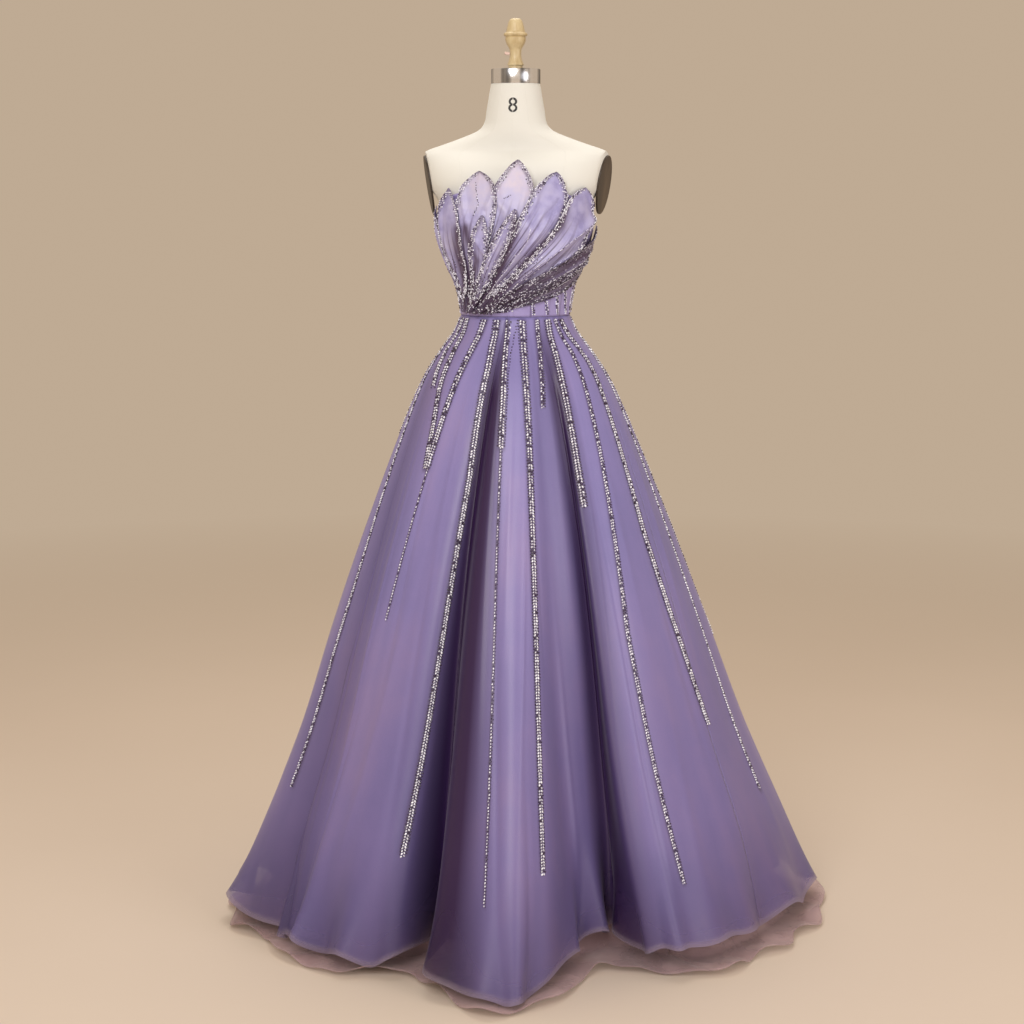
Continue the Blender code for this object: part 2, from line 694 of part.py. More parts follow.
def arm_plane(side):
    """The outward normal and the centre of the flat that carries an arm plate."""
    turn, tilt = math.radians(ARM_PLATE_TURN), math.radians(ARM_PLATE_TILT)
    level = math.cos(tilt)
    normal = Vector((side * math.cos(turn) * level, -math.sin(turn) * level, -math.sin(tilt)))
    return normal, Vector((side * ARM_PLATE_X, 0.012, ARM_PLATE_Z))


def make_arm_plates(collection):
    """An oval plate closes each armhole."""
    for side, name in ((-1, "form_arm_plate_right"), (1, "form_arm_plate_left")):
        normal, centre = arm_plane(side)
        bm = bmesh.new()
        bmesh.ops.create_cone(
            bm, cap_ends=True, segments=28, radius1=1.0, radius2=1.0, depth=ARM_PLATE_THICK,
            matrix=Matrix.Diagonal((*ARM_PLATE_HALF, 1, 1)),
        )
        rim = [e for e in bm.edges if e.calc_face_angle(0) > 1 and e.verts[0].co.z > 0]
        bmesh.ops.bevel(
            bm, geom=rim, offset=0.0012, segments=2, affect="EDGES", profile=0.5, material=-1
        )
        across = Vector((0, 0, 1)).cross(normal).normalized()
        up = normal.cross(across)
        turn = Matrix((across, up, normal)).transposed().to_4x4()
        place = centre + normal * (ARM_PLATE_THICK / 2 + SEAM_GAP)
        bmesh.ops.transform(bm, verts=bm.verts[:], matrix=Matrix.Translation(place) @ turn)
        add_object(name, mesh_from(bm, name), "arm_plate", collection)


def turned(name, outline, material, collection, steps=32):
    """A turned solid: an outline of (radius, height) from the top of the axis down to its foot."""
    bm = bmesh.new()
    points = [bm.verts.new((r, 0, z)) for r, z in outline]
    for first, second in zip(points, points[1:]):
        bm.edges.new((first, second))
    made = add_object(name, mesh_from(bm, name), material, collection)
    screw = made.modifiers.new("Turn", "SCREW")
    screw.steps = screw.render_steps = steps
    screw.use_merge_vertices = True
    screw.merge_threshold = 1e-5
    screw.use_smooth_shade = True
    return made


def make_neck_fittings(collection):
    """The chrome band, the turned finial and the small peg in its side."""
    band_low, band_high, band_r = NECK_TOP + SEAM_GAP, 1.7215, 0.0495
    edge = 0.0015
    outline = [
        (0, band_high), (band_r - edge, band_high), (band_r, band_high - edge),
        (band_r, band_low), (0, band_low),
    ]
    turned("form_neck_band", outline, "chrome", collection, 40)
    foot = band_high + SEAM_GAP
    outline = [
        (0, TOP_OF_FORM), (0.0085, TOP_OF_FORM - 0.0012), (0.0130, TOP_OF_FORM - 0.0055),
        (0.0160, TOP_OF_FORM - 0.0150), (0.0190, 1.7925), (0.0236, 1.7890), (0.0240, 1.7868),
        (0.0216, 1.7845), (0.0204, 1.7830), (0.0196, 1.7760), (0.0170, 1.7680), (0.0118, 1.7600),
        (0.0112, 1.7500), (0.0128, 1.7400), (0.0160, 1.7310), (0.0160, 1.7280), (0.0138, 1.7262),
        (0.0138, foot), (0, foot),
    ]
    turned("form_finial", outline, "wood", collection, 16)
    peg = bpy.data.curves.new("form_finial_peg", "CURVE")
    peg.dimensions = "3D"
    peg.bevel_depth = 0.0030
    peg.bevel_resolution = 2
    peg.use_fill_caps = True
    line = peg.splines.new("POLY")
    line.points.add(1)
    turn = math.radians(-78)
    for point, reach, z in zip(line.points, (0.0124, 0.0215), (1.7505, 1.7520)):
        point.co = (reach * math.sin(turn), -reach * math.cos(turn), z, 1)
    add_object("form_finial_peg", peg, "peg", collection)


def make_stand(collection):
    """A steel tube into the torso and a heavy round base, both hidden under the skirt."""
    hub_r, hub_top = 0.032, 0.046
    outline = [
        (0, hub_top), (hub_r - 0.003, hub_top), (hub_r, hub_top - 0.003),
        (hub_r, BASE_THICK + 0.003), (hub_r + 0.003, BASE_THICK), (BASE_R - 0.004, BASE_THICK),
        (BASE_R, BASE_THICK - 0.004), (BASE_R, 0), (0, 0),
    ]
    turned("stand_base", outline, "steel", collection, 36)
    low, high = hub_top + SEAM_GAP, FORM_BOTTOM - SEAM_GAP
    turned("stand_pole", [(0, high), (POLE_R, high), (POLE_R, low), (0, low)], "steel", collection, 24)


def main():
    clear_scene()
    collection = bpy.data.collections.new("prom_dress_on_form")
    bpy.context.scene.collection.children.link(collection)
    make_stand(collection)
    make_torso(collection)
    make_arm_plates(collection)
    make_neck_fittings(collection)
    make_bodice(collection)
    make_petals(collection)
    make_skirt(collection)
    make_layers(collection)
    make_zip(collection)


main()
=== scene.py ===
"""Looks of a strapless prom gown on a limbless dress form.

Petal bodice, organza skirt, tulle and beading, in metres with +Z up. The gown faces -Y and +X
is the wearer's left. Angles round the body are in degrees; they start at the centre front and
grow towards the left.
"""

import math
from collections import namedtuple

import bmesh
import bpy
import numpy as np
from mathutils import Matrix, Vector
from mathutils.bvhtree import BVHTree


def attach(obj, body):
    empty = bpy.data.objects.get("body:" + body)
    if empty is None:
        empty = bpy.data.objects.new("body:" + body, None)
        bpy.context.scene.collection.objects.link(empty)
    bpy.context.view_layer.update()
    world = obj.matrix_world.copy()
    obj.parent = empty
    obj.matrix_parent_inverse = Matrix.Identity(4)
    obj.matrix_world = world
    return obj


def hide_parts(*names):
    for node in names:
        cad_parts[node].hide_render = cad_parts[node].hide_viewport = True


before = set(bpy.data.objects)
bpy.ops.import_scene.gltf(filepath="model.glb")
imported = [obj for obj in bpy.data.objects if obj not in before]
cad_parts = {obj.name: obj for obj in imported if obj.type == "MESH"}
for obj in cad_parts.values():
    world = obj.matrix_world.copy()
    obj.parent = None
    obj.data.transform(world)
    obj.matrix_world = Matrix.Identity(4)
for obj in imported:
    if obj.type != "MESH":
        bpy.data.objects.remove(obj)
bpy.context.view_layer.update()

# ---------------------------------------------------------------- studio
# A pale sand-coloured floor that runs out into a background of the same colour, soft light
# from the front left, a weaker one from the right, and the camera at the photograph's angle.


class Thread:
    """A value, colour or vector on its way through a material; arithmetic adds Math nodes."""

    def __init__(self, tree, socket=None):
        self.tree = tree
        self.socket = socket

    def node(self, kind, settings=None, sockets=None, out=0):
        """Adds a node: its settings first, then the values or links of its sockets."""
        made = self.tree.nodes.new(kind)
        for name, value in (settings or {}).items():
            if name == "stops":
                ends = made.color_ramp.elements
                for element, (place, colour) in zip(ends, (value[0], value[-1])):
                    element.position, element.color = place, (*colour, 1)
                for place, colour in value[1:-1]:
                    ends.new(place).color = (*colour, 1)
            else:
                setattr(made, name, value)
        for name, value in (sockets or {}).items():
            if isinstance(value, Thread):
                self.tree.links.new(value.socket, made.inputs[name])
            elif value is not None:
                made.inputs[name].default_value = value
        return Thread(self.tree, made.outputs[out])

    def math(self, operation, first, second=None):
        return self.node("ShaderNodeMath", {"operation": operation}, {0: first, 1: second})

    def __add__(self, other):
        return self.math("ADD", self, other)

    def __rsub__(self, other):
        return self.math("SUBTRACT", other, self)

    def __mul__(self, other):
        return self.math("MULTIPLY", self, other)

    def __pow__(self, other):
        return self.math("POWER", self, other)

    def ramp(self, stops):
        """A colour for each value, through the stops."""
        return self.node("ShaderNodeValToRGB", {"stops": stops}, {"Fac": self})

    def blend(self, first, second, kind="MIX"):
        """Mixes two colours by this value."""
        sides = [side if isinstance(side, Thread) else (*side, 1) for side in (first, second)]
        settings = {"data_type": "RGBA", "blend_type": kind, "clamp_factor": True}
        first_in, second_in, result = 6, 7, 2       # where the node keeps its colours
        sockets = {0: self, first_in: sides[0], second_in: sides[1]}
        return self.node("ShaderNodeMix", settings, sockets, out=result)


class Finish(Thread):
    """A material: its plain sockets are set at once, and threads are led to the others."""

    def __init__(self, name, **plain):
        self.material = bpy.data.materials.new(name)
        self.material.use_nodes = True
        super().__init__(self.material.node_tree)
        self.shader = self.tree.nodes["Principled BSDF"]
        for socket, value in plain.items():
            self.shader.inputs[socket.replace("_", " ")].default_value = value

    def place(self, kind="Object"):
        return self.node("ShaderNodeTexCoord", out=kind)

    def worn(self, name):
        """A number kept on the piece's own points."""
        return self.node("ShaderNodeAttribute", {"attribute_name": name}, out="Fac")

    def noise(self, at, scale, detail=3.0, stretch=(1, 1, 1), roughness=0.5):
        """Noise from 0 to 1, with more of it along an axis whose stretch is larger."""
        moved = self.node("ShaderNodeMapping", {}, {"Vector": at, "Scale": stretch})
        sockets = {"Vector": moved, "Scale": scale, "Detail": detail, "Roughness": roughness}
        return self.node("ShaderNodeTexNoise", {}, sockets)

    def lead(self, **threads):
        for socket, thread in threads.items():
            self.tree.links.new(thread.socket, self.shader.inputs[socket.replace("_", " ")])

    def bump(self, height, strength, distance):
        sockets = {"Height": height, "Strength": strength, "Distance": distance}
        self.lead(Normal=self.node("ShaderNodeBump", {}, sockets))


def patchy(name, scale, detail, stretch, stops, **plain):
    """A finish whose colour follows noise through the stops."""
    made = Finish(name, **plain)
    made.lead(Base_Color=made.noise(made.place(), scale, detail, stretch).ramp(stops))
    return made


def link(name, data):
    made = bpy.data.objects.new(name, data)
    bpy.context.scene.collection.objects.link(made)
    return made


def point_at(held, place, aim):
    """Puts a lamp or the camera at a place, looking at another one."""
    held.location = place
    held.rotation_euler = (Vector(aim) - Vector(place)).to_track_quat("-Z", "Y").to_euler()


EVEN = (1, 1, 1)
BLACK, WHITE, WALL = (0.0, 0.0, 0.0), (1.0, 1.0, 1.0), (0.52, 0.405, 0.295)
# The floor turns into the background between these distances, in tens of metres
FADE_FROM, FADE_TO, FLOOR_RADIUS = 0.19, 0.52, 14.0
bm = bmesh.new()
bmesh.ops.create_circle(bm, cap_ends=True, segments=64, radius=FLOOR_RADIUS)
floor_mesh = bpy.data.meshes.new("studio_floor")
bm.to_mesh(floor_mesh)
bm.free()
floor = link("studio_floor", floor_mesh)
paint = Finish("floor", Roughness=0.8, Specular_IOR_Level=0.0, Emission_Strength=1.0)
here = paint.place()
away = paint.node("ShaderNodeVectorMath", {"operation": "LENGTH"}, {0: here}, out="Value") * 0.1
mottle = paint.noise(here, 1.6, 4.0)
near = (mottle * 0.25).blend((0.68, 0.59, 0.50), (0.57, 0.48, 0.40))
far_off = away.ramp([(FADE_FROM, BLACK), (FADE_TO, WHITE)])
paint.lead(Base_Color=far_off.blend(near, BLACK), Emission_Color=far_off.blend(BLACK, WALL))
floor_mesh.materials.append(paint.material)

world = bpy.data.worlds.new("studio")
world.use_nodes = True
world.node_tree.nodes["Background"].inputs["Color"].default_value = (*WALL, 1)
bpy.context.scene.world = world
bpy.context.scene.view_settings.view_transform = "Standard"

Lamp = namedtuple("Lamp", "name place aim size power colour")
LAMPS = (
    Lamp("key", (-0.6, -3.9, 3.1), (0, 0, 0.9), 2.4, 98, (1.0, 0.985, 0.98)),
    Lamp("fill", (3.0, -2.6, 1.6), (0, 0, 0.8), 2.2, 36, (0.98, 0.97, 1.0)),
    Lamp("top", (-0.2, 0.9, 4.2), (0, 0, 0.8), 2.4, 55, (1.0, 0.98, 0.95)),
)
for lamp in LAMPS:
    light = bpy.data.lights.new(lamp.name, "AREA")
    light.shape = "DISK"
    light.size, light.energy, light.color = lamp.size, lamp.power, lamp.colour
    point_at(link(lamp.name, light), lamp.place, lamp.aim)

CAMERA_TURN = math.radians(6)
CAMERA_AWAY, CAMERA_HEIGHT, AIM_HEIGHT, AIM_RIGHT = 4.2, 1.5, 0.829, -0.0071
FOCAL_MM, SENSOR_MM = 72.7, 36.0
lens = bpy.data.cameras.new("camera")
lens.lens, lens.sensor_width = FOCAL_MM, SENSOR_MM
camera = link("camera", lens)
sine, cosine = math.sin(CAMERA_TURN), math.cos(CAMERA_TURN)
point_at(
    camera, (CAMERA_AWAY * sine, -CAMERA_AWAY * cosine, CAMERA_HEIGHT),
    (AIM_RIGHT * cosine, AIM_RIGHT * sine, AIM_HEIGHT),
)
bpy.context.scene.camera = camera

# ---------------------------------------------------------------- dress form
# A padded torso under an off-white linen cover sewn in panels, a turned wooden knob on a
# chrome band at the neck, dark plates that close the armholes, and a steel tube and base.

# Height, half width, and half depth in front and behind: of the bodice's outer face, and of
# the form below and above it
BODICE_GIRTHS = np.array([
    (1.235, 0.1105, 0.0955, 0.095), (1.263, 0.114, 0.1, 0.0945), (1.303, 0.1225, 0.111, 0.0945),
    (1.343, 0.139, 0.124, 0.097), (1.384, 0.1525, 0.134, 0.101), (1.424, 0.1585, 0.136, 0.104),
    (1.464, 0.157, 0.129, 0.105), (1.5, 0.1515, 0.118, 0.104), (1.545, 0.145, 0.106, 0.1),
]).T
FULLEST_Z, WAIST_Z, FORM_GAP = 1.424, 1.235, 0.0062
CUP_ANGLE, CUP_Z = 30.0, 1.398
CUP_SPREAD, CUP_HEIGHT, CUP_RISE = 19.0, 0.045, 0.006
FORM_HIPS = np.array([
    (0.95, 0.15, 0.104, 0.12), (1.02, 0.16, 0.11, 0.134), (1.08, 0.153, 0.108, 0.128),
    (1.15, 0.126, 0.098, 0.106), (1.2, 0.108, 0.091, 0.089),
]).T
FORM_CHEST = np.array([
    (1.44, 0.15, 0.126, 0.1), (1.46, 0.154, 0.116, 0.103), (1.478, 0.166, 0.108, 0.105),
    (1.495, 0.176, 0.101, 0.105), (1.515, 0.182, 0.09, 0.103), (1.535, 0.186, 0.076, 0.098),
    (1.552, 0.189, 0.058, 0.088), (1.562, 0.178, 0.049, 0.079), (1.574, 0.143, 0.049, 0.073),
    (1.588, 0.104, 0.052, 0.069), (1.6, 0.076, 0.054, 0.066), (1.614, 0.063, 0.054, 0.062),
    (1.64, 0.058, 0.052, 0.057), (1.692, 0.049, 0.048, 0.05),
]).T


def smooth(keys, values, at):
    """A smooth curve through the values at the keys, read at one place or at many."""
    slopes = np.gradient(values, keys)
    slopes[1:-1] = (values[2:] - values[:-2]) / (keys[2:] - keys[:-2])
    at = np.clip(at, keys[0], keys[-1])
    i = np.clip(np.searchsorted(keys, at, side="right") - 1, 0, len(keys) - 2)
    width = keys[i + 1] - keys[i]
    t = (at - keys[i]) / width
    return (
        (2 * t**3 - 3 * t**2 + 1) * values[i]
        + (t**3 - 2 * t**2 + t) * width * slopes[i]
        + (3 * t**2 - 2 * t**3) * values[i + 1]
        + (t**3 - t**2) * width * slopes[i + 1]
    )


def around(girths, angle, z, out=0.0):
    """A point on a body of those girths, or that far outside it."""
    turn = np.radians(angle)
    wide = smooth(girths[0], girths[1], z) + out
    front, back = (smooth(girths[0], girths[k], z) + out for k in (2, 3))
    deep = np.where(np.cos(turn) > 0, front, back)
    return np.stack(np.broadcast_arrays(wide * np.sin(turn), -deep * np.cos(turn), z), axis=-1)


def on_bodice(angle, z, out=0.0):
    """A point on the bodice's outer face, or that far outside it."""
    cups = sum(
        np.exp(-((angle - side * CUP_ANGLE) / CUP_SPREAD) ** 2 - ((z - CUP_Z) / CUP_HEIGHT) ** 2)
        for side in (-1, 1)
    )
    return around(BODICE_GIRTHS, angle, z, out + CUP_RISE * cups)


def on_form(angle, z, out=0.0):
    """A point on the form at one height."""
    if WAIST_Z <= z <= FULLEST_Z:
        return on_bodice(angle, np.float64(z), out - FORM_GAP)
    return around(FORM_HIPS if z < WAIST_Z else FORM_CHEST, angle, np.float64(z), out)


def smooth_mesh(bm, name, angle=50.0):
    mesh = bpy.data.meshes.new(name)
    bm.to_mesh(mesh)
    bm.free()
    mesh.shade_smooth()
    mesh.set_sharp_from_angle(angle=math.radians(angle))
    return mesh


def fit(name, mesh, finish, nodes=(), body="dress_on_form"):
    """Makes a finished piece of the mesh, riding on its body and standing for its CAD nodes."""
    mesh.materials.append(finish.material)
    piece = link(name, mesh)
    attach(piece, body)
    if nodes:
        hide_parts(*nodes)
    return piece


def dress(node, finish):
    """Gives a node of the CAD model its finish."""
    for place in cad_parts[node].material_slots:
        place.material = finish.material


def settled(held):
    """The mesh that an object with a curve, text or modifiers comes to; the object goes."""
    bpy.context.view_layer.update()
    graph = bpy.context.evaluated_depsgraph_get()
    mesh = bpy.data.meshes.new_from_object(held.evaluated_get(graph))
    bpy.data.objects.remove(held)
    return mesh


TORSO_SIDES, ARM_TURN, ARM_TILT = 96, math.radians(13), math.radians(9)
ARM_PLATE_X, ARM_PLATE_Y, ARM_PLATE_Z = 0.1745, 0.012, 1.494
under_bodice = BODICE_GIRTHS[0][BODICE_GIRTHS[0] <= FULLEST_Z]
rows = np.concatenate([FORM_HIPS[0], under_bodice, FORM_CHEST[0]])
heights = np.interp(np.arange(3 * len(rows) - 2) / 3, np.arange(len(rows)), rows)
bm = bmesh.new()
bmesh.ops.create_circle(bm, segments=TORSO_SIDES, radius=1.0)
angles = {v: math.degrees(math.atan2(v.co.x, -v.co.y)) for v in bm.verts}
for vertex, angle in angles.items():
    vertex.co = on_form(angle, heights[0])
bottom = edges = bm.edges[:]
for z in heights[1:]:
    before = {tuple(v.co): a for v, a in angles.items()}
    grown = bmesh.ops.extrude_edge_only(bm, edges=edges)["geom"]
    angles = {v: before[tuple(v.co)] for v in grown if isinstance(v, bmesh.types.BMVert)}
    for vertex, angle in angles.items():
        vertex.co = on_form(angle, z)
    edges = [e for e in grown if isinstance(e, bmesh.types.BMEdge)]
bmesh.ops.holes_fill(bm, edges=bottom + edges, sides=0)
for side in (-1, 1):
    level = math.cos(ARM_TILT)
    facing = Vector((
        side * math.cos(ARM_TURN) * level, -math.sin(ARM_TURN) * level, -math.sin(ARM_TILT),
    ))
    cut = bmesh.ops.bisect_plane(
        bm, geom=bm.verts[:] + bm.edges[:] + bm.faces[:], plane_no=facing, clear_outer=True,
        plane_co=(side * ARM_PLATE_X, ARM_PLATE_Y, ARM_PLATE_Z),
    )
    rim = [e for e in cut["geom_cut"] if isinstance(e, bmesh.types.BMEdge)]
    bmesh.ops.holes_fill(bm, edges=rim, sides=0)
bmesh.ops.recalc_face_normals(bm, faces=bm.faces[:])

linen = Finish("linen_cover", Roughness=0.88, Sheen_Weight=0.15, Specular_IOR_Level=0.25)
here = linen.place()
weave = linen.noise(here, 900.0, 2.0, (1, 1, 0.35))
weave = weave + linen.noise(here, 900.0, 2.0, (0.35, 0.35, 1))
soil = linen.noise(here, 9.0, 4.0) * 0.5
linen.lead(Base_Color=soil.blend((0.77, 0.78, 0.745), (0.72, 0.725, 0.685)))
linen.bump(weave, 0.12, 0.0004)
fit("torso_cover", smooth_mesh(bm, "torso_cover"), linen, ["form_torso"])


def corded(spines, name, radius):
    """Fine round cords along lists of points, as one mesh."""
    curve = bpy.data.curves.new(name, "CURVE")
    curve.dimensions, curve.bevel_depth, curve.bevel_resolution = "3D", radius, 1
    curve.use_fill_caps = True
    for spine in spines:
        line = curve.splines.new("POLY")
        line.points.add(len(spine) - 1)
        for point, co in zip(line.points, spine):
            point.co = (*co, 1)
    bm = bmesh.new()
    bm.from_mesh(settled(link(name, curve)))
    bmesh.ops.remove_doubles(bm, verts=bm.verts[:], dist=1e-6)
    bmesh.ops.recalc_face_normals(bm, faces=bm.faces[:])
    return smooth_mesh(bm, name)


# Welts of the cover's seams: centre front, centre back and the princess lines, drawn
# together towards the neck, and the neck's own seam round its foot.
WELT_RADIUS, WELT_SUNK, WELT_TOP, NECK_FOOT = 0.0006, -0.0002, 1.690, 1.617
spines = []
for angle, low in ((0, 1.50), (180, 1.41), (34, 1.51), (-34, 1.51), (146, 1.42), (-146, 1.42)):
    run = np.linspace(low, WELT_TOP, 60)
    pull = 1 - 0.2 * np.clip((run - 1.56) / 0.13, 0, 1)
    sign = np.sign(angle) if abs(angle) > 90 else 0
    lean = angle * pull + sign * 180 * (1 - pull)
    spines.append([on_form(a, z, WELT_SUNK) for a, z in zip(lean, run)])
spines.append([on_form(a, NECK_FOOT, WELT_SUNK) for a in np.linspace(0, 360, 97)])
fit("torso_welts", corded(spines, "torso_welts", WELT_RADIUS), linen)

# Size numeral, printed in black on the front of the neck.
NUMERAL_HEIGHT, NUMERAL_Z, NUMERAL_OUT = 0.0285, 1.6495, 0.0004
text = bpy.data.curves.new("numeral", "FONT")
text.body, text.align_x, text.size, text.offset = "8", "CENTER", 0.040, 0.0002
bm = bmesh.new()
bm.from_mesh(settled(link("numeral", text)))
ys = [v.co.y for v in bm.verts]
scale = NUMERAL_HEIGHT / (max(ys) - min(ys))
for vertex in bm.verts:
    z = NUMERAL_Z + (vertex.co.y - (max(ys) + min(ys)) / 2) * scale
    reach = smooth(FORM_CHEST[0], FORM_CHEST[1], z)
    vertex.co = on_form(math.degrees(math.asin(vertex.co.x * scale / reach)), z, NUMERAL_OUT)
bmesh.ops.recalc_face_normals(bm, faces=bm.faces[:])
ink = patchy(
    "stamp_ink", 500.0, 3.0, EVEN, [(0, (0.012, 0.012, 0.014)), (1, (0.035, 0.035, 0.037))],
    Roughness=0.6,
)
fit("neck_numeral", smooth_mesh(bm, "neck_numeral"), ink)


def turned(outline, name, steps, sharp):
    """A turned solid of an outline of (radius, height), from the top of the axis to its foot."""
    bm = bmesh.new()
    points = [bm.verts.new((r, 0, z)) for r, z in outline]
    for first, second in zip(points, points[1:]):
        bm.edges.new((first, second))
    bmesh.ops.spin(
        bm, geom=bm.verts[:] + bm.edges[:], cent=(0, 0, 0), axis=(0, 0, 1),
        angle=2 * math.pi, steps=steps, use_merge=True,
    )
    bmesh.ops.remove_doubles(bm, verts=bm.verts[:], dist=1e-6)
    bmesh.ops.recalc_face_normals(bm, faces=bm.faces[:])
    return smooth_mesh(bm, name, sharp)


def rounded(rows, steps=5):
    """A turned outline drawn smoothly through its rows."""
    keys = np.arange(len(rows), dtype=float)
    at = np.linspace(0, len(rows) - 1, (len(rows) - 1) * steps + 1)
    r, z = (smooth(keys, np.array(column), at) for column in zip(*rows))
    return list(zip(np.maximum(r, 0.0), z))


NECK_TOP, BAND_TOP, BAND_R, TOP_OF_FORM = 1.6923, 1.7215, 0.0495, 1.820
# Painted reflections: dark and bright vertical streaks in the chrome's colour stand in for the
# studio it mirrors
chrome = patchy(
    "chrome_band", 46.0, 1.0, (1, 1, 0.02),
    [(0.38, (0.03, 0.03, 0.035)), (0.47, (0.40, 0.41, 0.43)), (0.58, (0.92, 0.93, 0.96))],
    Metallic=1.0, Roughness=0.24,
)
band = [
    (0, BAND_TOP), (0.0165, BAND_TOP), (0.0168, BAND_TOP - 0.0004),
    (BAND_R - 0.0020, BAND_TOP - 0.0004), (BAND_R - 0.0006, BAND_TOP - 0.0010),
    (BAND_R, BAND_TOP - 0.0024), (BAND_R, NECK_TOP + 0.0012), (BAND_R - 0.0006, NECK_TOP),
    (0, NECK_TOP),
]
fit("neck_band", turned(band, "neck_band", 96, 30), chrome, ["form_neck_band"])

wood = Finish("turned_wood", Roughness=0.42, Coat_Weight=0.25, Coat_Roughness=0.25)
here = wood.place()
grain = wood.noise(here, 60.0, 4.0, (1, 1, 0.12))
rays = wood.noise(here, 420.0, 2.0, (1, 1, 0.10))
wood.lead(Base_Color=(grain * 0.8 + rays * 0.3).ramp(
    [(0.25, (0.70, 0.60, 0.37)), (0.55, (0.60, 0.48, 0.27)), (0.8, (0.42, 0.31, 0.15))]
))
wood.bump(rays, 0.08, 0.0004)
foot = BAND_TOP + 0.0003
outline = rounded([
    (0, TOP_OF_FORM), (0.0085, TOP_OF_FORM - 0.0012), (0.0130, TOP_OF_FORM - 0.0055),
    (0.0160, TOP_OF_FORM - 0.0150), (0.0188, 1.7935),
])
outline += rounded([
    (0.0192, 1.7925), (0.0226, 1.7905), (0.0238, 1.7880), (0.0226, 1.7856), (0.0200, 1.7842),
])
outline += [(0.0196, 1.7838), (0.0194, 1.7828), (0.0204, 1.7820)]
outline += rounded([
    (0.0204, 1.7816), (0.0202, 1.7770), (0.0186, 1.7715), (0.0150, 1.7650), (0.0120, 1.7590),
    (0.0112, 1.7500), (0.0120, 1.7420), (0.0142, 1.7350), (0.0160, 1.7300), (0.0158, 1.7280),
])
outline += [(0.0138, 1.7268), (0.0138, foot), (0, foot)]
fit("neck_knob", turned(outline, "neck_knob", 64, 35), wood, ["form_finial"])

stain = patchy(
    "dark_stain", 26.0, 5.0, (1, 0.6, 0.08),
    [(0.3, (0.020, 0.013, 0.009)), (0.55, (0.055, 0.036, 0.022)), (0.8, (0.16, 0.11, 0.07))],
    Roughness=0.5, Coat_Weight=0.1,
)
steel = patchy(
    "base_steel", 30.0, 4.0, EVEN, [(0.3, (0.20, 0.20, 0.21)), (0.8, (0.32, 0.32, 0.33))],
    Metallic=0.8, Roughness=0.42,
)
peg = patchy(
    "pale_peg", 300.0, 3.0, EVEN, [(0, (0.80, 0.62, 0.56)), (1, (0.70, 0.50, 0.44))],
    Roughness=0.5,
)
for node, finish in (
    ("form_arm_plate_left", stain), ("form_arm_plate_right", stain), ("form_finial_peg", peg),
    ("stand_base", steel), ("stand_pole", steel),
):
    dress(node, finish)

# ---------------------------------------------------------------- bodice foundation
# The strapless corselet under the petals: nine satin panels sewn at the princess lines, each
# with a boning channel, bound at the top edge and sewn to the skirt at the waist.

BODICE_WALL, PETAL_WALL, SEAM_GAP, ZIP_WIDTH = 0.0020, 0.0011, 0.0003, 0.0064
BODICE_SEAMS = {
    "bodice_back_right": (-180, -139),
    "bodice_side_back_right": (-139, -97),
    "bodice_side_front_right": (-97, -58),
    "bodice_front_right": (-58, -21),
    "bodice_front_centre": (-21, 21),
    "bodice_front_left": (21, 58),
    "bodice_side_front_left": (58, 97),
    "bodice_side_back_left": (97, 139),
    "bodice_back_left": (139, 180),
}
# Height of the top edge at an angle to either side
BODICE_TOP = np.array([
    (0, 1.482), (45, 1.476), (70, 1.446), (92, 1.424), (130, 1.418), (180, 1.408),
]).T
REACH = 0.14                # metres to a radian on the bodice laid flat


def cloth(name, places, finish, nodes, wall, worn=None):
    """A sheet of cloth on a grid of points, its wall inwards; rows run down, columns left."""
    rows, columns = places.shape[0] - 1, places.shape[1] - 1
    bm = bmesh.new()
    bm.loops.layers.uv.new("cloth")
    bmesh.ops.create_grid(bm, x_segments=columns, y_segments=rows, size=0.5, calc_uvs=True)
    bmesh.ops.reverse_faces(bm, faces=bm.faces[:])
    mesh = bpy.data.meshes.new(name)
    bm.to_mesh(mesh)
    bm.free()
    mesh.vertices.foreach_set("co", places.reshape(-1).astype(np.float32))
    for key, values in (worn or {}).items():
        kept = mesh.attributes.new(key, "FLOAT", "POINT")
        kept.data.foreach_set("value", np.ascontiguousarray(values, np.float32).reshape(-1))
    mesh.shade_smooth()
    mesh.update()
    piece = fit(name, mesh, finish, nodes)
    thick = piece.modifiers.new("wall", "SOLIDIFY")
    thick.thickness, thick.offset = wall, -1
    return piece


def near_line(angle, z, line, width):
    """1 on a line of (angle, z) laid over the bodice, falling off smoothly over its width."""
    x, ends = np.radians(angle) * REACH, np.array(line, float)
    ends[:, 0] = np.radians(ends[:, 0]) * REACH
    least = np.full(np.shape(x), 1e9)
    for (ax, az), (bx, bz) in zip(ends, ends[1:]):
        wide, high = bx - ax, bz - az
        t = np.clip(((x - ax) * wide + (z - az) * high) / (wide**2 + high**2), 0, 1)
        least = np.minimum(least, np.hypot(x - ax - t * wide, z - az - t * high))
    return np.exp(-((least / width) ** 2))


satin = Finish(
    "bodice_satin", Roughness=0.42, Sheen_Weight=0.35, Sheen_Roughness=0.4,
    Sheen_Tint=(0.75, 0.68, 1.0, 1),
)
here = satin.place()
thread = satin.noise(here, 1400.0, 2.0, (1, 1, 0.25))
cast = satin.noise(here, 14.0, 4.0)
tone = cast.ramp([
    (0.3, (0.29, 0.245, 0.51)), (0.55, (0.36, 0.315, 0.62)), (0.8, (0.44, 0.39, 0.69)),
])
# Painted shade: the satin darkens in its sunk seams, grooves and stitch lines
satin.lead(Base_Color=(satin.worn("hollow") * 0.75).blend(tone, (0.10, 0.06, 0.13)))
satin.bump(thread + cast, 0.25, 0.0004)

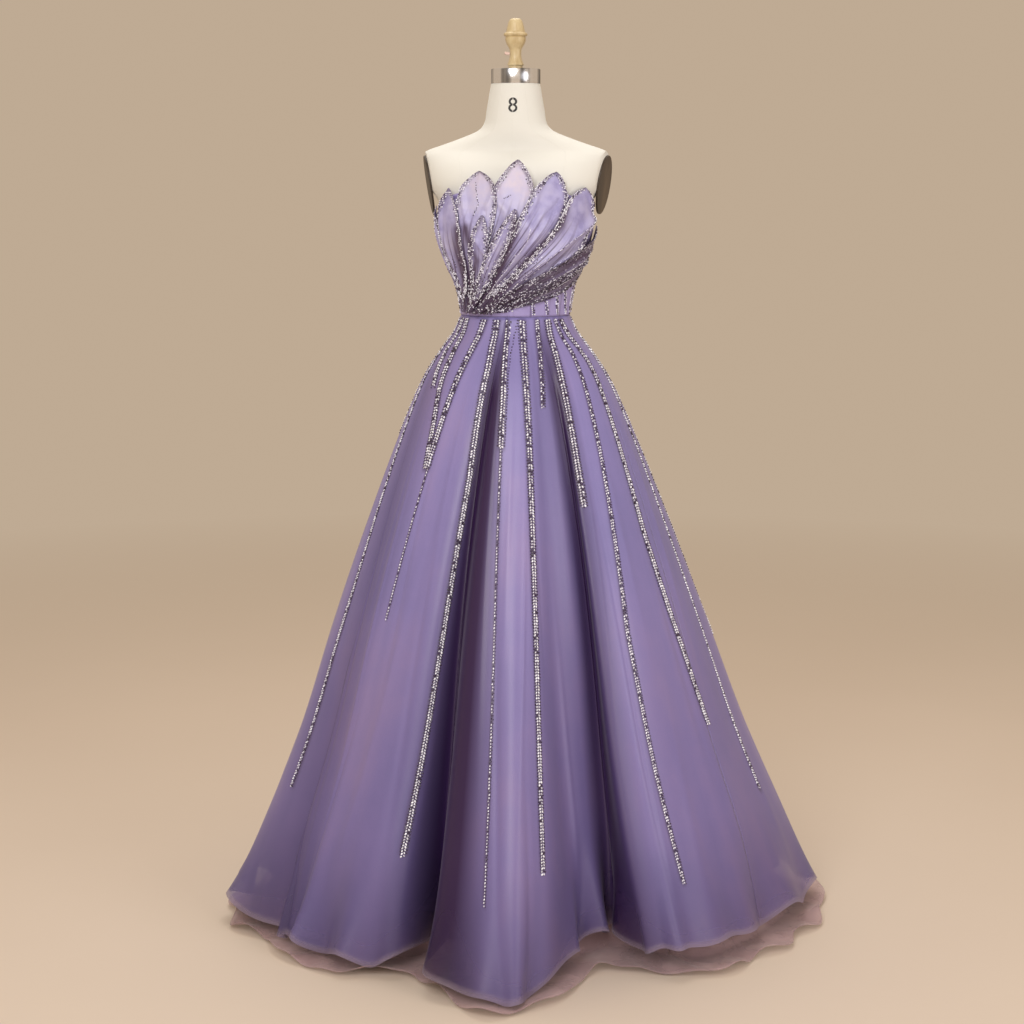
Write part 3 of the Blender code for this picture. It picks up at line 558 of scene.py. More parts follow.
# How wide each panel is cut, and how long
PANEL_COLUMNS, PANEL_ROWS, PANEL_FILLED = 40, 60, 0.82
BONING_HEIGHT, BONING_HALF, GROOVE_BESIDE, GROOVE_HALF = 0.0010, 0.0042, 0.0012, 0.0009
BINDING_HEIGHT, BINDING_MIDDLE, BINDING_HALF, STITCHES_DOWN = 0.0006, 0.0035, 0.0030, 0.0078
SEAM_HALF, SUNK = 0.0016, 0.0003
for name, (first, last) in BODICE_SEAMS.items():
    u = np.linspace(0, 1, PANEL_COLUMNS + 1)[None, :]
    v = np.linspace(0, 1, PANEL_ROWS + 1)[:, None]
    angle = first + u * (last - first)
    top = smooth(BODICE_TOP[0], BODICE_TOP[1], np.abs(angle))
    z = top + v * (WAIST_Z + SEAM_GAP - top)
    gaps = [ZIP_WIDTH / 2 + SEAM_GAP if abs(end) == 180 else SEAM_GAP / 2 for end in (first, last)]
    degree = on_bodice(first + 0.5 + 0 * z, z) - on_bodice(first - 0.5 + 0 * z, z)
    per_degree = np.linalg.norm(degree, axis=-1)
    low = first + gaps[0] / per_degree
    high = last - gaps[1] / per_degree
    angle = low + u * (high - low)
    metres = (angle - (first + last) / 2) * per_degree
    bone = np.exp(-((metres / BONING_HALF) ** 6))
    groove = np.exp(-(((np.abs(metres) - BONING_HALF - GROOVE_BESIDE) / GROOVE_HALF) ** 2))
    edge = np.minimum(angle - low, high - angle) * per_degree
    seam = np.exp(-((edge / SEAM_HALF) ** 2))
    down = top - z
    bound = np.exp(-(((down - BINDING_MIDDLE) / BINDING_HALF) ** 4))
    stitched = np.exp(-(((down - STITCHES_DOWN) / GROOVE_HALF) ** 2))
    out = BONING_HEIGHT * bone + BINDING_HEIGHT * bound - SUNK * (groove + seam + stitched)
    # Painted shade in the sunk seams, the grooves beside the boning and the stitch line below the
    # binding
    hollow = np.clip(0.6 * seam + 0.35 * groove + 0.5 * stitched, 0, 1)
    cloth(
        f"{name}_panel", on_bodice(angle, z, out), satin, [name], BODICE_WALL,
        {"hollow": hollow},
    )

# ---------------------------------------------------------------- petals and drapes
# Leaf-shaped petals of doubled organza, wired and beaded at the edge, that stand above the top
# edge, and three pleated sashes drawn from the left side seam; all are caught in one gather.

Petal = namedtuple("Petal", (
    "name base_angle bend_angle bend_z tip_angle tip_z half_width widest tip_power layer flat"
))
PETALS = (
    Petal("petal_1", -58.0, -72, 1.330, -74, 1.452, 0.0250, 0.66, 1.6, 0, (0.053, 0.230)),
    Petal("petal_2", -53.0, -48, 1.330, -47.5, 1.487, 0.0370, 0.68, 1.8, 2, (0.087, 0.275)),
    Petal("petal_3", -48.5, -23, 1.350, -22, 1.520, 0.0385, 0.78, 3.0, 1, (0.095, 0.325)),
    Petal("petal_4", -46.0, -22, 1.300, -17, 1.435, 0.0200, 0.66, 1.7, 2, (0.048, 0.230)),
    Petal("petal_5", -43.5, 2, 1.360, 6.5, 1.542, 0.0380, 0.78, 1.7, 0, (0.093, 0.365)),
    Petal("petal_6", -41.0, -10, 1.330, 5, 1.447, 0.0150, 0.62, 2.0, 3, (0.040, 0.250)),
    Petal("petal_7", -38.5, 20, 1.360, 35, 1.518, 0.0350, 0.76, 2.4, 1, (0.087, 0.370)),
    Petal("petal_8", -36.0, 48, 1.330, 62, 1.488, 0.0410, 0.80, 2.4, 2, (0.094, 0.410)),
    Petal("drape_1", -33.5, 48, 1.325, 97, 1.391, 0.0255, 1.0, 2.0, 3, (0.062, 0.380)),
    Petal("drape_2", -31.0, 48, 1.302, 97, 1.382, 0.0260, 1.0, 2.0, 1, (0.061, 0.335)),
    Petal("drape_3", -28.5, 48, 1.278, 97, 1.352, 0.0240, 1.0, 2.0, 0, (0.058, 0.310)),
)
GATHER_Z, PETAL_LIFT, PETAL_STEP, PETAL_FILLED = 1.2425, 0.0022, 0.0029, 0.58
BASE_HALF_WIDTH, TIP_HALF_WIDTH = 0.0024, 0.0006
WIRE_RISE, VEIN_RISE, PLEAT_RISE, SIDE_SEAM = 0.0009, 0.0005, 0.00035, 97
# Folds that stand out over all the layers together: height, half width and line
RIDGES = (
    (0.0095, 0.0085, ((-43, 1.242), (-34, 1.28), (-21, 1.321), (-12, 1.353), (-5, 1.389),
     (-1, 1.415), (0, 1.433))),
    (0.0085, 0.0075, ((-35, 1.24), (-15, 1.292), (-2, 1.327), (7, 1.358), (13, 1.384),
     (15, 1.41))),
    (0.0105, 0.009, ((-26, 1.236), (1, 1.287), (18, 1.329), (32, 1.358), (47, 1.389),
     (70, 1.424), (88, 1.432))),
    (0.0075, 0.0062, ((-18, 1.243), (7, 1.281), (27, 1.321), (45, 1.352), (64, 1.382),
     (97, 1.404))),
    (0.008, 0.0065, ((-12, 1.243), (14, 1.279), (36, 1.307), (56, 1.333), (75, 1.358),
     (97, 1.376))),
    (0.007, 0.0055, ((-21, 1.24), (2, 1.259), (23, 1.283), (45, 1.306), (64, 1.334),
     (97, 1.345))),
    (0.005, 0.0055, ((-52, 1.485), (-57, 1.456), (-57, 1.419), (-55, 1.377), (-50, 1.3),
     (-46, 1.242))),
    (0.0045, 0.005, ((-48, 1.485), (-40, 1.469), (-34, 1.435), (-33, 1.399), (-36, 1.355))),
    (0.0055, 0.0055, ((-27, 1.526), (-35, 1.513), (-36, 1.482), (-32, 1.446), (-27, 1.405),
     (-29, 1.34))),
    (0.0045, 0.005, ((-25, 1.525), (-15, 1.516), (-10, 1.495), (-11, 1.472), (-15, 1.451))),
    (0.0045, 0.0045, ((-19, 1.436), (-24, 1.42), (-23, 1.389), (-17, 1.358))),
    (0.0055, 0.0055, ((3, 1.544), (-5, 1.523), (-9, 1.495), (-8, 1.464), (-1, 1.441), (4, 1.43))),
    (0.0045, 0.005, ((4, 1.544), (13, 1.523), (17, 1.498), (14, 1.464), (11, 1.436))),
    (0.005, 0.005, ((33, 1.522), (25, 1.505), (20, 1.477), (18, 1.456), (13, 1.433))),
    (0.005, 0.0055, ((34, 1.522), (42, 1.5), (38, 1.477), (29, 1.456), (20, 1.426), (16, 1.4))),
    (0.0055, 0.006, ((53, 1.495), (65, 1.477), (75, 1.445), (84, 1.413))),
    (0.006, 0.007, ((49, 1.495), (41, 1.47), (34, 1.44), (24, 1.405), (12, 1.36))),
    (0.006, 0.007, ((-68, 1.455), (-72, 1.4), (-68, 1.33), (-58, 1.245))),
)
# Deep clefts between the folds: depth of shadow, half width and line
CLEFTS = (
    (1, 0.0075, ((-33, 1.253), (-18, 1.286), (-5, 1.337), (1, 1.374), (5, 1.4), (5, 1.426))),
    (1, 0.008, ((-29, 1.238), (-5, 1.287), (7, 1.321), (15, 1.353), (25, 1.382), (37, 1.415),
     (42, 1.456))),
    (1, 0.014, ((-36, 1.405), (-40, 1.35), (-42, 1.3), (-44, 1.255))),
    (0.9, 0.007, ((-29, 1.412), (-28, 1.379), (-25, 1.347), (-31, 1.32), (-38, 1.262))),
    (0.6, 0.005, ((-56, 1.364), (-55, 1.329), (-52, 1.292), (-49, 1.244))),
    (0.7, 0.0045, ((-13, 1.25), (5, 1.27), (25, 1.3), (45, 1.328), (64, 1.356), (97, 1.36))),
    (0.7, 0.0045, ((-12, 1.256), (11, 1.294), (31, 1.334), (50, 1.366), (70, 1.396), (97, 1.39))),
    (0.6, 0.005, ((-10, 1.243), (12, 1.268), (36, 1.292), (58, 1.322), (97, 1.33))),
)


def sewn_down(angle):
    """From 0 on the front to 1 at the left side seam, where the drapes end."""
    return np.clip((angle - 66) / 28, 0, 1)


def folds_over(angle, z):
    """How far the folds stand out at a place, and the painted shade of the clefts there."""
    stand = sum((rise * near_line(angle, z, line, width)) ** 4 for rise, width, line in RIDGES)
    dark = sum(depth * near_line(angle, z, line, width) for depth, width, line in CLEFTS)
    dark = np.clip(dark, 0, 1)
    out = stand**0.25 * (1 - 0.5 * dark) * (1 - sewn_down(angle))
    return out, dark * (1 - 0.6 * np.clip(out / 0.008, 0, 1))


def petal_half_width(petal, s):
    """Half width along a petal: narrow at the gather, widest near the tip, then closing."""
    rise = np.maximum(np.sin(math.pi / 2 * np.minimum(s / petal.widest, 1)), 0.0) ** 1.3
    beyond = np.clip((s - petal.widest) / max(1 - petal.widest, 1e-9), 0, 1)
    close = (1 - beyond**petal.tip_power) ** 0.75
    opening = BASE_HALF_WIDTH + (petal.half_width - BASE_HALF_WIDTH) * rise
    closing = TIP_HALF_WIDTH + (petal.half_width - TIP_HALF_WIDTH) * close
    return np.where(s <= petal.widest, opening, closing)


def on_petal(petal, across, s, out=0.0):
    """A point on a petal's face, the painted shade of the clefts there, and its height."""
    def middle(t):
        base, bend, tip = (1 - t) ** 2, 2 * t * (1 - t), t**2
        angle = base * petal.base_angle + bend * petal.bend_angle + tip * petal.tip_angle
        return np.radians(angle) * REACH, base * GATHER_Z + bend * petal.bend_z + tip * petal.tip_z

    ahead, behind = middle(np.minimum(s + 0.01, 1.0)), middle(np.maximum(s - 0.01, 0.0))
    run = np.hypot(ahead[0] - behind[0], ahead[1] - behind[1])
    side = across * petal_half_width(petal, s) / run
    x, z = middle(s)
    x, z = x + side * (ahead[1] - behind[1]), z - side * (ahead[0] - behind[0])
    angle = np.degrees(x / REACH)
    raised, dark = folds_over(angle, z)
    wired = WIRE_RISE * np.abs(across) ** 8 * np.clip((SIDE_SEAM - angle) / 20, 0, 1)
    vein = VEIN_RISE * np.exp(-((across / 0.12) ** 2))
    pleats = PLEAT_RISE * np.cos(across * 14 + 3 * s) * np.clip(4 * s * (1 - s), 0, 1)
    layers = petal.layer * PETAL_STEP * (1 - 0.80 * sewn_down(angle))
    lift = PETAL_LIFT + layers + PETAL_WALL + raised + wired + vein + pleats + out
    return on_bodice(angle, z, lift), dark, z


petal_cloth = Finish(
    "petal_organza", Roughness=0.36, Sheen_Weight=0.3, Sheen_Roughness=0.35,
    Sheen_Tint=(0.80, 0.72, 1.0, 1),
)
laid_out = petal_cloth.place("UV")
thread = petal_cloth.noise(laid_out, 260.0, 2.0, (1.4, 0.25, 1))
cast = petal_cloth.noise(petal_cloth.place(), 26.0, 5.0, roughness=0.6)
seeds = petal_cloth.noise(laid_out, 95.0, 1.5, (0.62, 1.0, 1))
tone = (cast * 0.8 + petal_cloth.worn("blush") * 0.35).ramp([
    (0.28, (0.31, 0.29, 0.56)), (0.42, (0.43, 0.41, 0.69)), (0.56, (0.51, 0.49, 0.73)),
    (0.80, (0.62, 0.56, 0.70)),
])
seeded = seeds.ramp([
    (0.38, (0.025, 0.014, 0.035)), (0.50, (0.10, 0.07, 0.135)), (0.60, (0.20, 0.16, 0.27)),
    (0.68, (0.66, 0.63, 0.74)),
])
# Fine corded lines run up the petals where the cloth is gathered
cords = petal_cloth.noise(laid_out, 17.0, 2.0, (1.0, 0.05, 1)).ramp([(0.53, BLACK), (0.58, WHITE)])
lined = (cords * petal_cloth.worn("lined")).blend(tone, (0.13, 0.10, 0.20))
covered = petal_cloth.worn("beaded").blend(lined, seeded)
# Painted shade in the clefts and the pleats near the gather, and the drapes darker all over
shaded = (petal_cloth.worn("hollow") * 0.92).blend(covered, (0.060, 0.030, 0.075))
petal_cloth.lead(Base_Color=shaded)
petal_cloth.bump(thread * 0.6 + cast + seeds * petal_cloth.worn("beaded") * 1.6, 0.35, 0.0008)

ACROSS, ALONG, BEADED_EDGE = 28, 64, 0.0085
petal_corners, petal_faces = [], []
for petal in PETALS:
    across = np.linspace(-1, 1, ACROSS + 1)[None, :]
    s = 1 - np.linspace(0, 1, ALONG + 1)[:, None]
    places, dark, z = on_petal(petal, across, s + 0 * across)
    is_drape = petal.name.startswith("drape")
    near_gather = np.exp(-((s / 0.30) ** 2)) + 0 * across
    pleated = 0.5 + 0.5 * np.cos(across * 18)
    # Painted shade: the clefts, the pleats near the gather, and the drapes darker all over
    hollow = np.clip(dark + near_gather * (0.25 + 0.55 * pleated) + 0.42 * is_drape, 0, 1)
    blush = np.clip((z - 1.42) / 0.10, 0, 1) * (petal.name in ("petal_5", "petal_3"))
    from_edge = (1 - np.abs(across)) * petal_half_width(petal, s)
    border = np.exp(-((from_edge / BEADED_EDGE) ** 4))
    towards_gather = np.clip((0.50 - s) / 0.25, 0, 1) * (0.60 + 0.40 * is_drape) + 0 * across
    beaded = np.maximum(border * 0.75, np.maximum(towards_gather, 0.7 * is_drape))
    beaded = np.clip(beaded, 0, 0.85)
    lined = np.clip((0.80 - s) / 0.30, 0, 1) * (1 - border)
    piece = cloth(
        f"{petal.name}_cloth", places, petal_cloth, [petal.name], PETAL_WALL,
        {"hollow": hollow, "blush": blush, "beaded": beaded, "lined": lined},
    )
    start = len(petal_corners)
    petal_corners += [v.co[:] for v in piece.data.vertices]
    petal_faces += [[start + k for k in p.vertices] for p in piece.data.polygons]

# ---------------------------------------------------------------- skirt
# The outer skirt: nine flared gores of crisp lilac organza gathered into the waist, their
# seams in the valleys of deep soft folds, with a narrow rolled hem.

ORGANZA_WALL, FOLD_GROWTH, WAIST_REACH, HEM_REACH, SWAY = 0.0015, 0.8, 0.11, 0.60, 0.015
ZIP_BOTTOM_SHARE = 0.105
# Height, greatest half width, and the depth for it
SKIRT_FLARE = np.array([
    (0, 0.605, 1), (0.06, 0.584, 1), (0.2, 0.534, 1), (0.4, 0.453, 1), (0.6, 0.385, 0.99),
    (0.8, 0.313, 0.98), (1, 0.236, 0.95), (1.11, 0.187, 0.92), (1.17, 0.148, 0.89),
    (1.2, 0.126, 0.88), (1.235, 0.1095, 0.872),
]).T
# The folds all round: angle at the waist, then angle, reach and height at the hem
FOLDS = np.array([
    (-180, -180, 0.585, 0.022), (-170, -168, 0.525, 0.026), (-158, -156, 0.595, 0.018),
    (-147, -147, 0.58, 0.02), (-138, -138, 0.485, 0.03), (-128, -127, 0.59, 0.02),
    (-118, -116, 0.582, 0.022), (-109, -104, 0.515, 0.032), (-101, -92, 0.58, 0.028),
    (-93, -80, 0.588, 0.028), (-84, -68, 0.6, 0.028), (-77, -47, 0.515, 0.034),
    (-72, -52.5, 0.568, 0.028), (-54, -48.5, 0.562, 0.025), (-33, -44.5, 0.558, 0.024),
    (-21, -34, 0.552, 0.022), (-12.5, -24, 0.527, 0.024), (-6, -18, 0.39, 0.05),
    (-3.8, -11.5, 0.552, 0.022), (-2.5, -2, 0.605, 0.018), (9, 4.5, 0.628, 0.017),
    (15, 10.5, 0.565, 0.02), (20, 18, 0.435, 0.03), (24, 26, 0.4, 0.045), (30, 35, 0.375, 0.05),
    (37, 32.5, 0.485, 0.042), (47, 37.5, 0.52, 0.038), (58, 43, 0.535, 0.038),
    (68, 55, 0.545, 0.042), (77, 66, 0.56, 0.042), (88, 78, 0.58, 0.038), (98, 91, 0.608, 0.034),
    (108, 104, 0.6, 0.03), (118, 115, 0.51, 0.034), (129, 127, 0.598, 0.022),
    (140, 139, 0.588, 0.02), (149, 149, 0.505, 0.028), (160, 159, 0.598, 0.018),
    (170, 170, 0.578, 0.022),
])

# How deep in shadow the cloth is round the skirt: fold number and shade
FOLD_SHADE = np.array([
    (0, 0), (1, 0.5), (2, 0), (3.2, 0.1), (4, 0.9), (4.8, 0.1), (6.2, 0.1), (7, 0.8), (7.8, 0.2),
    (9.4, 0.25), (9.9, 0), (10.6, 0.4), (11.4, 0.6), (12.4, 0.42), (13.4, 0.2), (14, 0),
    (15.6, 0.12), (16.3, 0.45), (16.7, 0.9), (17.1, 1), (18.4, 0.97), (18.9, 0.4), (19.3, 0.05),
    (21.1, 0), (21.8, 0.22), (23.1, 0.28), (23.6, 0.8), (24.4, 1), (25, 0.75), (25.6, 0.35),
    (26.1, 0), (28, 0.05), (30, 0.15), (31, 0), (32.2, 0.1), (33, 0.9), (33.9, 0), (35.2, 0.1),
    (36, 0.9), (36.9, 0), (38, 0.1), (39, 0),
]).T


def fold_curve(u):
    """Waist angle, hem angle, hem reach and hem height at a fold number, on a closed curve."""
    i = np.floor(u).astype(int)
    t = (u - i)[..., None]

    def row(k):
        turns, place = np.divmod(k, len(FOLDS))
        return FOLDS[place] + turns[..., None] * np.array([360, 360, 0, 0])

    before, start, end, after = (row(i + k) for k in (-1, 0, 1, 2))
    found = 0.5 * (
        2 * start + (end - before) * t + (2 * before - 5 * start + 4 * end - after) * t**2
        + (3 * start - before - 3 * end + after) * t**3
    )
    return [found[..., k] for k in range(4)]


def cone_reach(angle, z):
    """The skirt's outline from the axis, with no folds."""
    wide = smooth(SKIRT_FLARE[0], SKIRT_FLARE[1], z)
    deep = wide * smooth(SKIRT_FLARE[0], SKIRT_FLARE[2], z)
    turn = np.radians(angle)
    return 1 / np.hypot(np.sin(turn) / wide, np.cos(turn) / deep)


def skirt_polar(u, t):
    """Angle, reach and height of the organza at fold u, a share t of the way down."""
    waist, hem, reach, hem_height = fold_curve(u)
    z = WAIST_Z - SEAM_GAP - t * (WAIST_Z - SEAM_GAP - hem_height)
    share = t * HEM_REACH / (t * HEM_REACH + (1 - t) * WAIST_REACH)
    angle = (1 - share) * waist + share * hem
    depth = reach / cone_reach(angle, hem_height) - 1
    return angle, cone_reach(angle, z) * (1 + depth * t**FOLD_GROWTH), z


def polar(angle, reach, z):
    """A point of the skirt at an angle and reach; the hem sits a little left of the waist."""
    turn = np.radians(angle)
    sway = SWAY * (WAIST_Z - z) / WAIST_Z
    x, y = reach * np.sin(turn) + sway, -reach * np.cos(turn)
    return np.stack(np.broadcast_arrays(x, y, z), axis=-1)


# Creases pressed in by hand and by storage: fold number, share of the way down, half length,
# lean, rise and half width
CREASES = np.array([
    (1.6, 0.32, 0.2, 0.3, 0.0045, 0.1), (2.7, 0.62, 0.24, -0.2, 0.006, 0.13),
    (3.4, 0.8, 0.15, 0.2, -0.005, 0.11), (5.3, 0.45, 0.22, -0.3, 0.005, 0.12),
    (6.4, 0.7, 0.2, 0.2, -0.0055, 0.1), (8.3, 0.38, 0.16, 0.3, 0.0045, 0.12),
    (9.2, 0.66, 0.26, -0.2, 0.0065, 0.14), (10.3, 0.5, 0.18, 0.2, -0.005, 0.1),
    (11.6, 0.22, 0.14, 0.2, 0.0035, 0.12), (12.4, 0.58, 0.28, 0.2, -0.0075, 0.1),
    (12.8, 0.3, 0.2, -0.1, 0.006, 0.1), (13.3, 0.44, 0.3, 0.2, 0.0085, 0.12),
    (13.6, 0.8, 0.18, -0.2, -0.007, 0.1), (14.4, 0.36, 0.22, 0.2, -0.007, 0.11),
    (14.6, 0.7, 0.24, -0.2, 0.008, 0.13), (15.3, 0.26, 0.16, 0.2, 0.0055, 0.12),
    (15.5, 0.6, 0.22, 0.1, -0.0065, 0.11), (16.2, 0.84, 0.14, -0.1, 0.006, 0.12),
    (18.6, 0.4, 0.24, 0.1, 0.005, 0.1), (19.3, 0.66, 0.26, 0.2, -0.0075, 0.12),
    (19.6, 0.28, 0.18, -0.1, 0.0055, 0.12), (20.3, 0.5, 0.26, -0.2, 0.007, 0.11),
    (20.5, 0.84, 0.14, 0.1, -0.007, 0.13), (21.3, 0.34, 0.2, 0.1, -0.005, 0.1),
    (22.4, 0.72, 0.2, 0.2, 0.005, 0.12), (25.6, 0.4, 0.22, -0.2, 0.006, 0.12),
    (26.4, 0.66, 0.24, 0.2, -0.0065, 0.11), (27.3, 0.3, 0.18, 0.1, 0.0055, 0.12),
    (27.6, 0.82, 0.16, -0.1, 0.006, 0.12), (28.5, 0.52, 0.24, 0.2, -0.007, 0.12),
    (29.4, 0.36, 0.2, -0.2, 0.006, 0.12), (30.3, 0.7, 0.22, 0.2, 0.0065, 0.13),
    (31.4, 0.46, 0.2, -0.2, -0.006, 0.11), (32.5, 0.76, 0.18, 0.1, 0.0055, 0.12),
    (34.3, 0.4, 0.2, 0.2, 0.005, 0.12), (35.4, 0.64, 0.24, -0.2, -0.0055, 0.11),
    (37.3, 0.5, 0.22, 0.2, 0.0055, 0.12), (38.4, 0.72, 0.2, -0.1, 0.005, 0.12),
])
STEAMED = 0.3               # the share of each crease that steaming leaves
WAVE_RISE, FLUTE_RISE, FLUTES_FROM, LIFTED_FROM = 0.0014, 0.0170, 0.78, 0.86


def radians_round(u):
    """How far round the skirt a fold number is."""
    return 2 * math.pi * u / len(FOLDS)


def fall(u, t):
    """How far the cloth stands off its broad folds: soft waves, creases and a fluted hem."""
    turn = radians_round(u)
    body = WAVE_RISE * t**0.6 * (np.sin(17 * turn + 5 * t) + 0.7 * np.sin(31 * turn - 7 * t + 1))
    flutes = FLUTE_RISE * np.clip((t - FLUTES_FROM) / (1 - FLUTES_FROM), 0, 1) ** 2 * (
        np.sin(19 * turn + 3 * np.sin(5 * turn)) + 0.35 * np.sin(37 * turn + 1)
    )
    found = body + flutes
    for place, down, half_length, lean, rise, half_width in CREASES:
        along = (t - down) / half_length
        across = (u - place - lean * along) / half_width
        found = found + STEAMED * rise * np.minimum(2.2 * t, 1) * np.exp(-(across**2) - along**2)
    return found


def skirt_place(u, t):
    """A point on the creased organza, the way out of the cloth there, and metres to a fold."""
    near = 1e-3
    angle, reach, z = skirt_polar(u, t)
    up, down = np.maximum(t - near, 0.0), np.minimum(t + near, 1.0)
    left = polar(*skirt_polar(u + near, t)) - polar(*skirt_polar(u - near, t))
    below = polar(*skirt_polar(u, down)) - polar(*skirt_polar(u, up))
    out = np.cross(below, left)
    out /= np.linalg.norm(out, axis=-1)[..., None]
    place = polar(angle, reach, z) + out * fall(u, t)[..., None]
    # The hem's edge lifts off the floor in uneven waves
    wave = radians_round(u)
    place[..., 2] += np.clip((t - LIFTED_FROM) / (1 - LIFTED_FROM), 0, 1) ** 2 * (
        0.011 + 0.009 * np.sin(19 * wave + 3 * np.sin(5 * wave) + 0.8) + 0.002 * np.sin(41 * wave)
    )
    return place, out, np.linalg.norm(left, axis=-1) / (2 * near)


organza = Finish(
    "skirt_organza", Roughness=0.42, Sheen_Weight=0.14, Sheen_Roughness=0.4,
    Sheen_Tint=(0.78, 0.72, 1.0, 1),
)
here, laid_out = organza.place(), organza.place("UV")
streaks = organza.noise(laid_out, 14.0, 3.0, (1.0, 0.10, 1))
glint = organza.noise(here, 700.0, 1.0)
cast = organza.noise(here, 5.0, 3.0, (1, 1, 0.35))
mottle = organza.noise(here, 24.0, 4.0)
tone = (streaks * 0.14 + cast * 0.62 + mottle * 0.10 + glint * 0.14).ramp(
    [(0.38, (0.235, 0.215, 0.50)), (0.52, (0.285, 0.25, 0.56)), (0.66, (0.35, 0.285, 0.57))]
)
# Painted shade: the organza darkens towards the hem as the light falls off
shaded_towards_hem = (organza.worn("low") ** 1.2).blend(tone, (0.60, 0.545, 0.62), "MULTIPLY")
# Painted shade in the valleys of the folds and along the seams
shaded = organza.worn("hollow").blend(shaded_towards_hem, (0.022, 0.003, 0.052))
# Dark thread and painted shadow under and beside the strings of beads
strung = (organza.worn("strung") * 0.85).blend(shaded, (0.07, 0.05, 0.11))
organza.lead(
    Base_Color=(organza.worn("hem") * 0.5).blend(strung, (0.62, 0.52, 0.66)),
    Alpha=0.96 - organza.worn("sheer") * 0.48,
)
organza.bump(streaks * 0.5 + mottle * 0.5 + glint * 0.3, 0.10, 0.0012)

# Strings of beads down the skirt: half width, and a line by share of the way down and fold
BROAD, NARROW, THIN = 0.0085, 0.0060, 0.0035
STRINGS = (
    (BROAD, ((0.005, 12.3), (0.06, 12.15), (0.115, 12.7))),
    (BROAD, ((0.005, 12.8), (0.06, 12.95), (0.115, 13.2), (0.17, 13.6), (0.24, 13.95))),
    (BROAD, ((0.005, 14.1), (0.24, 14.05))),
    (THIN, ((0.24, 14.1), (0.48, 14.05))),
    (BROAD, ((0.005, 15.6), (0.08, 16.15), (0.25, 16.4), (0.45, 16.3), (0.83, 16.05))),
    (BROAD, ((0.005, 18.8), (0.12, 19.05), (0.20, 19.05))),
    (THIN, ((0.20, 19.05), (0.87, 19.1))),
    (BROAD, ((0.005, 20.7), (0.20, 20.95), (0.83, 21.0))),
    (NARROW, ((0.005, 24.1), (0.08, 23.05), (0.145, 22.5))),
    (BROAD, ((0.005, 25.7), (0.10, 25.3), (0.30, 25.3))),
    (NARROW, ((0.005, 26.6), (0.06, 27.2), (0.22, 27.1), (0.50, 26.7), (0.89, 27.1))),
    (BROAD, ((0.005, 27.4), (0.07, 28.5), (0.35, 28.45), (0.49, 28.7), (0.67, 29.05))),
    (NARROW, ((0.005, 30.1), (0.30, 30.2), (0.80, 30.3))),
    (BROAD, ((0.005, 31.5), (0.30, 31.4), (0.55, 31.4))),
    (NARROW, ((0.005, 32.6), (0.18, 32.4))),
    (BROAD, ((0.005, 34.1), (0.86, 34.1))),
    (NARROW, ((0.005, 35.2), (0.42, 35.2))),
    (BROAD, ((0.005, 37.2), (0.72, 37.2))),
    (NARROW, ((0.005, 38.3), (0.35, 38.2))),
    (BROAD, ((0.125, 0.2), (0.50, 0.1))),
    (NARROW, ((0.005, 1.8), (0.85, 2.0))),
    (BROAD, ((0.005, 3.1), (0.60, 3.0))),
    (NARROW, ((0.005, 4.9), (0.84, 5.0))),
    (BROAD, ((0.005, 6.1), (0.35, 6.1))),
    (BROAD, ((0.005, 8.2), (0.62, 8.4))),
    (NARROW, ((0.005, 9.3), (0.20, 9.4))),
    (NARROW, ((0.005, 10.2), (0.78, 10.2))),
)


def under_strings(u, t):
    """How dark the cloth is under and beside the strings of beads: dark thread and painted shadow.
    """
    across = skirt_place(u, t)[2]
    dark = 0 * u
    for half_width, line in STRINGS:
        shares, folds = np.array(line).T
        away = (u - np.interp(t, shares, folds)) * across / half_width
        dark = np.maximum(dark, np.exp(-(away**4)) * (t >= shares[0]) * (t <= shares[-1]))
    return dark


# Gores: first and last fold, and the hem width of the cut
GORES = {
    "skirt_back_right": (0, 4, 0.610),
    "skirt_side_back_right": (4, 7, 0.465),
    "skirt_side_right": (7, 11, 0.715),
    "skirt_front_right": (11, 17, 0.775),
    "skirt_front_centre": (17, 24, 0.950),
    "skirt_front_left": (24, 29, 0.635),
    "skirt_side_left": (29, 33, 0.635),
    "skirt_side_back_left": (33, 36, 0.480),
    "skirt_back_left": (36, 39, 0.440),
}
GORE_LENGTH, GORE_FILLED, FOLD_COLUMNS, SKIRT_ROWS = 1.310, 0.53, 18, 90
for name, (first, last, hem_width) in GORES.items():
    columns = (last - first) * FOLD_COLUMNS
    t = (np.linspace(0, 1, SKIRT_ROWS + 1) ** 1.15)[:, None]
    ends = []
    for end, inwards in ((first, 1), (last, -1)):
        step = 0.02 * inwards
        run = polar(*skirt_polar(end + step + 0 * t, t)) - polar(*skirt_polar(end + 0 * t, t))
        at_zip = np.clip((ZIP_BOTTOM_SHARE + 0.02 - t) / 0.02, 0, 1) * (end in (0, len(FOLDS)))
        wide = (ZIP_WIDTH / 2 + SEAM_GAP) * at_zip
        ends.append(end + step * np.maximum(wide, SEAM_GAP / 2) / np.linalg.norm(run, axis=-1))
    u = ends[0] + np.linspace(0, 1, columns + 1)[None, :] * (ends[1] - ends[0])
    t = t + 0 * u
    # Painted shade in the folds' valleys, growing from the waist, and a little along the seams
    hollow = np.interp(u % len(FOLDS), *FOLD_SHADE) * np.clip(t / 0.12, 0, 1) ** 0.6
    seam = np.exp(-((np.minimum(u - ends[0], ends[1] - u) / 0.03) ** 2))
    worn = {
        "hollow": np.clip(hollow + 0.10 * seam, 0, 1),
        "hem": (t > 0.9945) * 1.0,
        "sheer": np.clip((t - 0.80) / 0.20, 0, 1) ** 1.4,
        "low": np.clip((t - 0.12) / 0.88, 0, 1),
        "strung": under_strings(u, t),
    }
    cloth(
        f"{name}_gore", skirt_place(u, t)[0], organza, [name], ORGANZA_WALL, worn,
    )

# ---------------------------------------------------------------- underskirt and tulle
# Under the organza a plain violet skirt in four quarters, and below its hem a stiff tulle
# flounce that spreads on the floor and shows past the organza's edge.

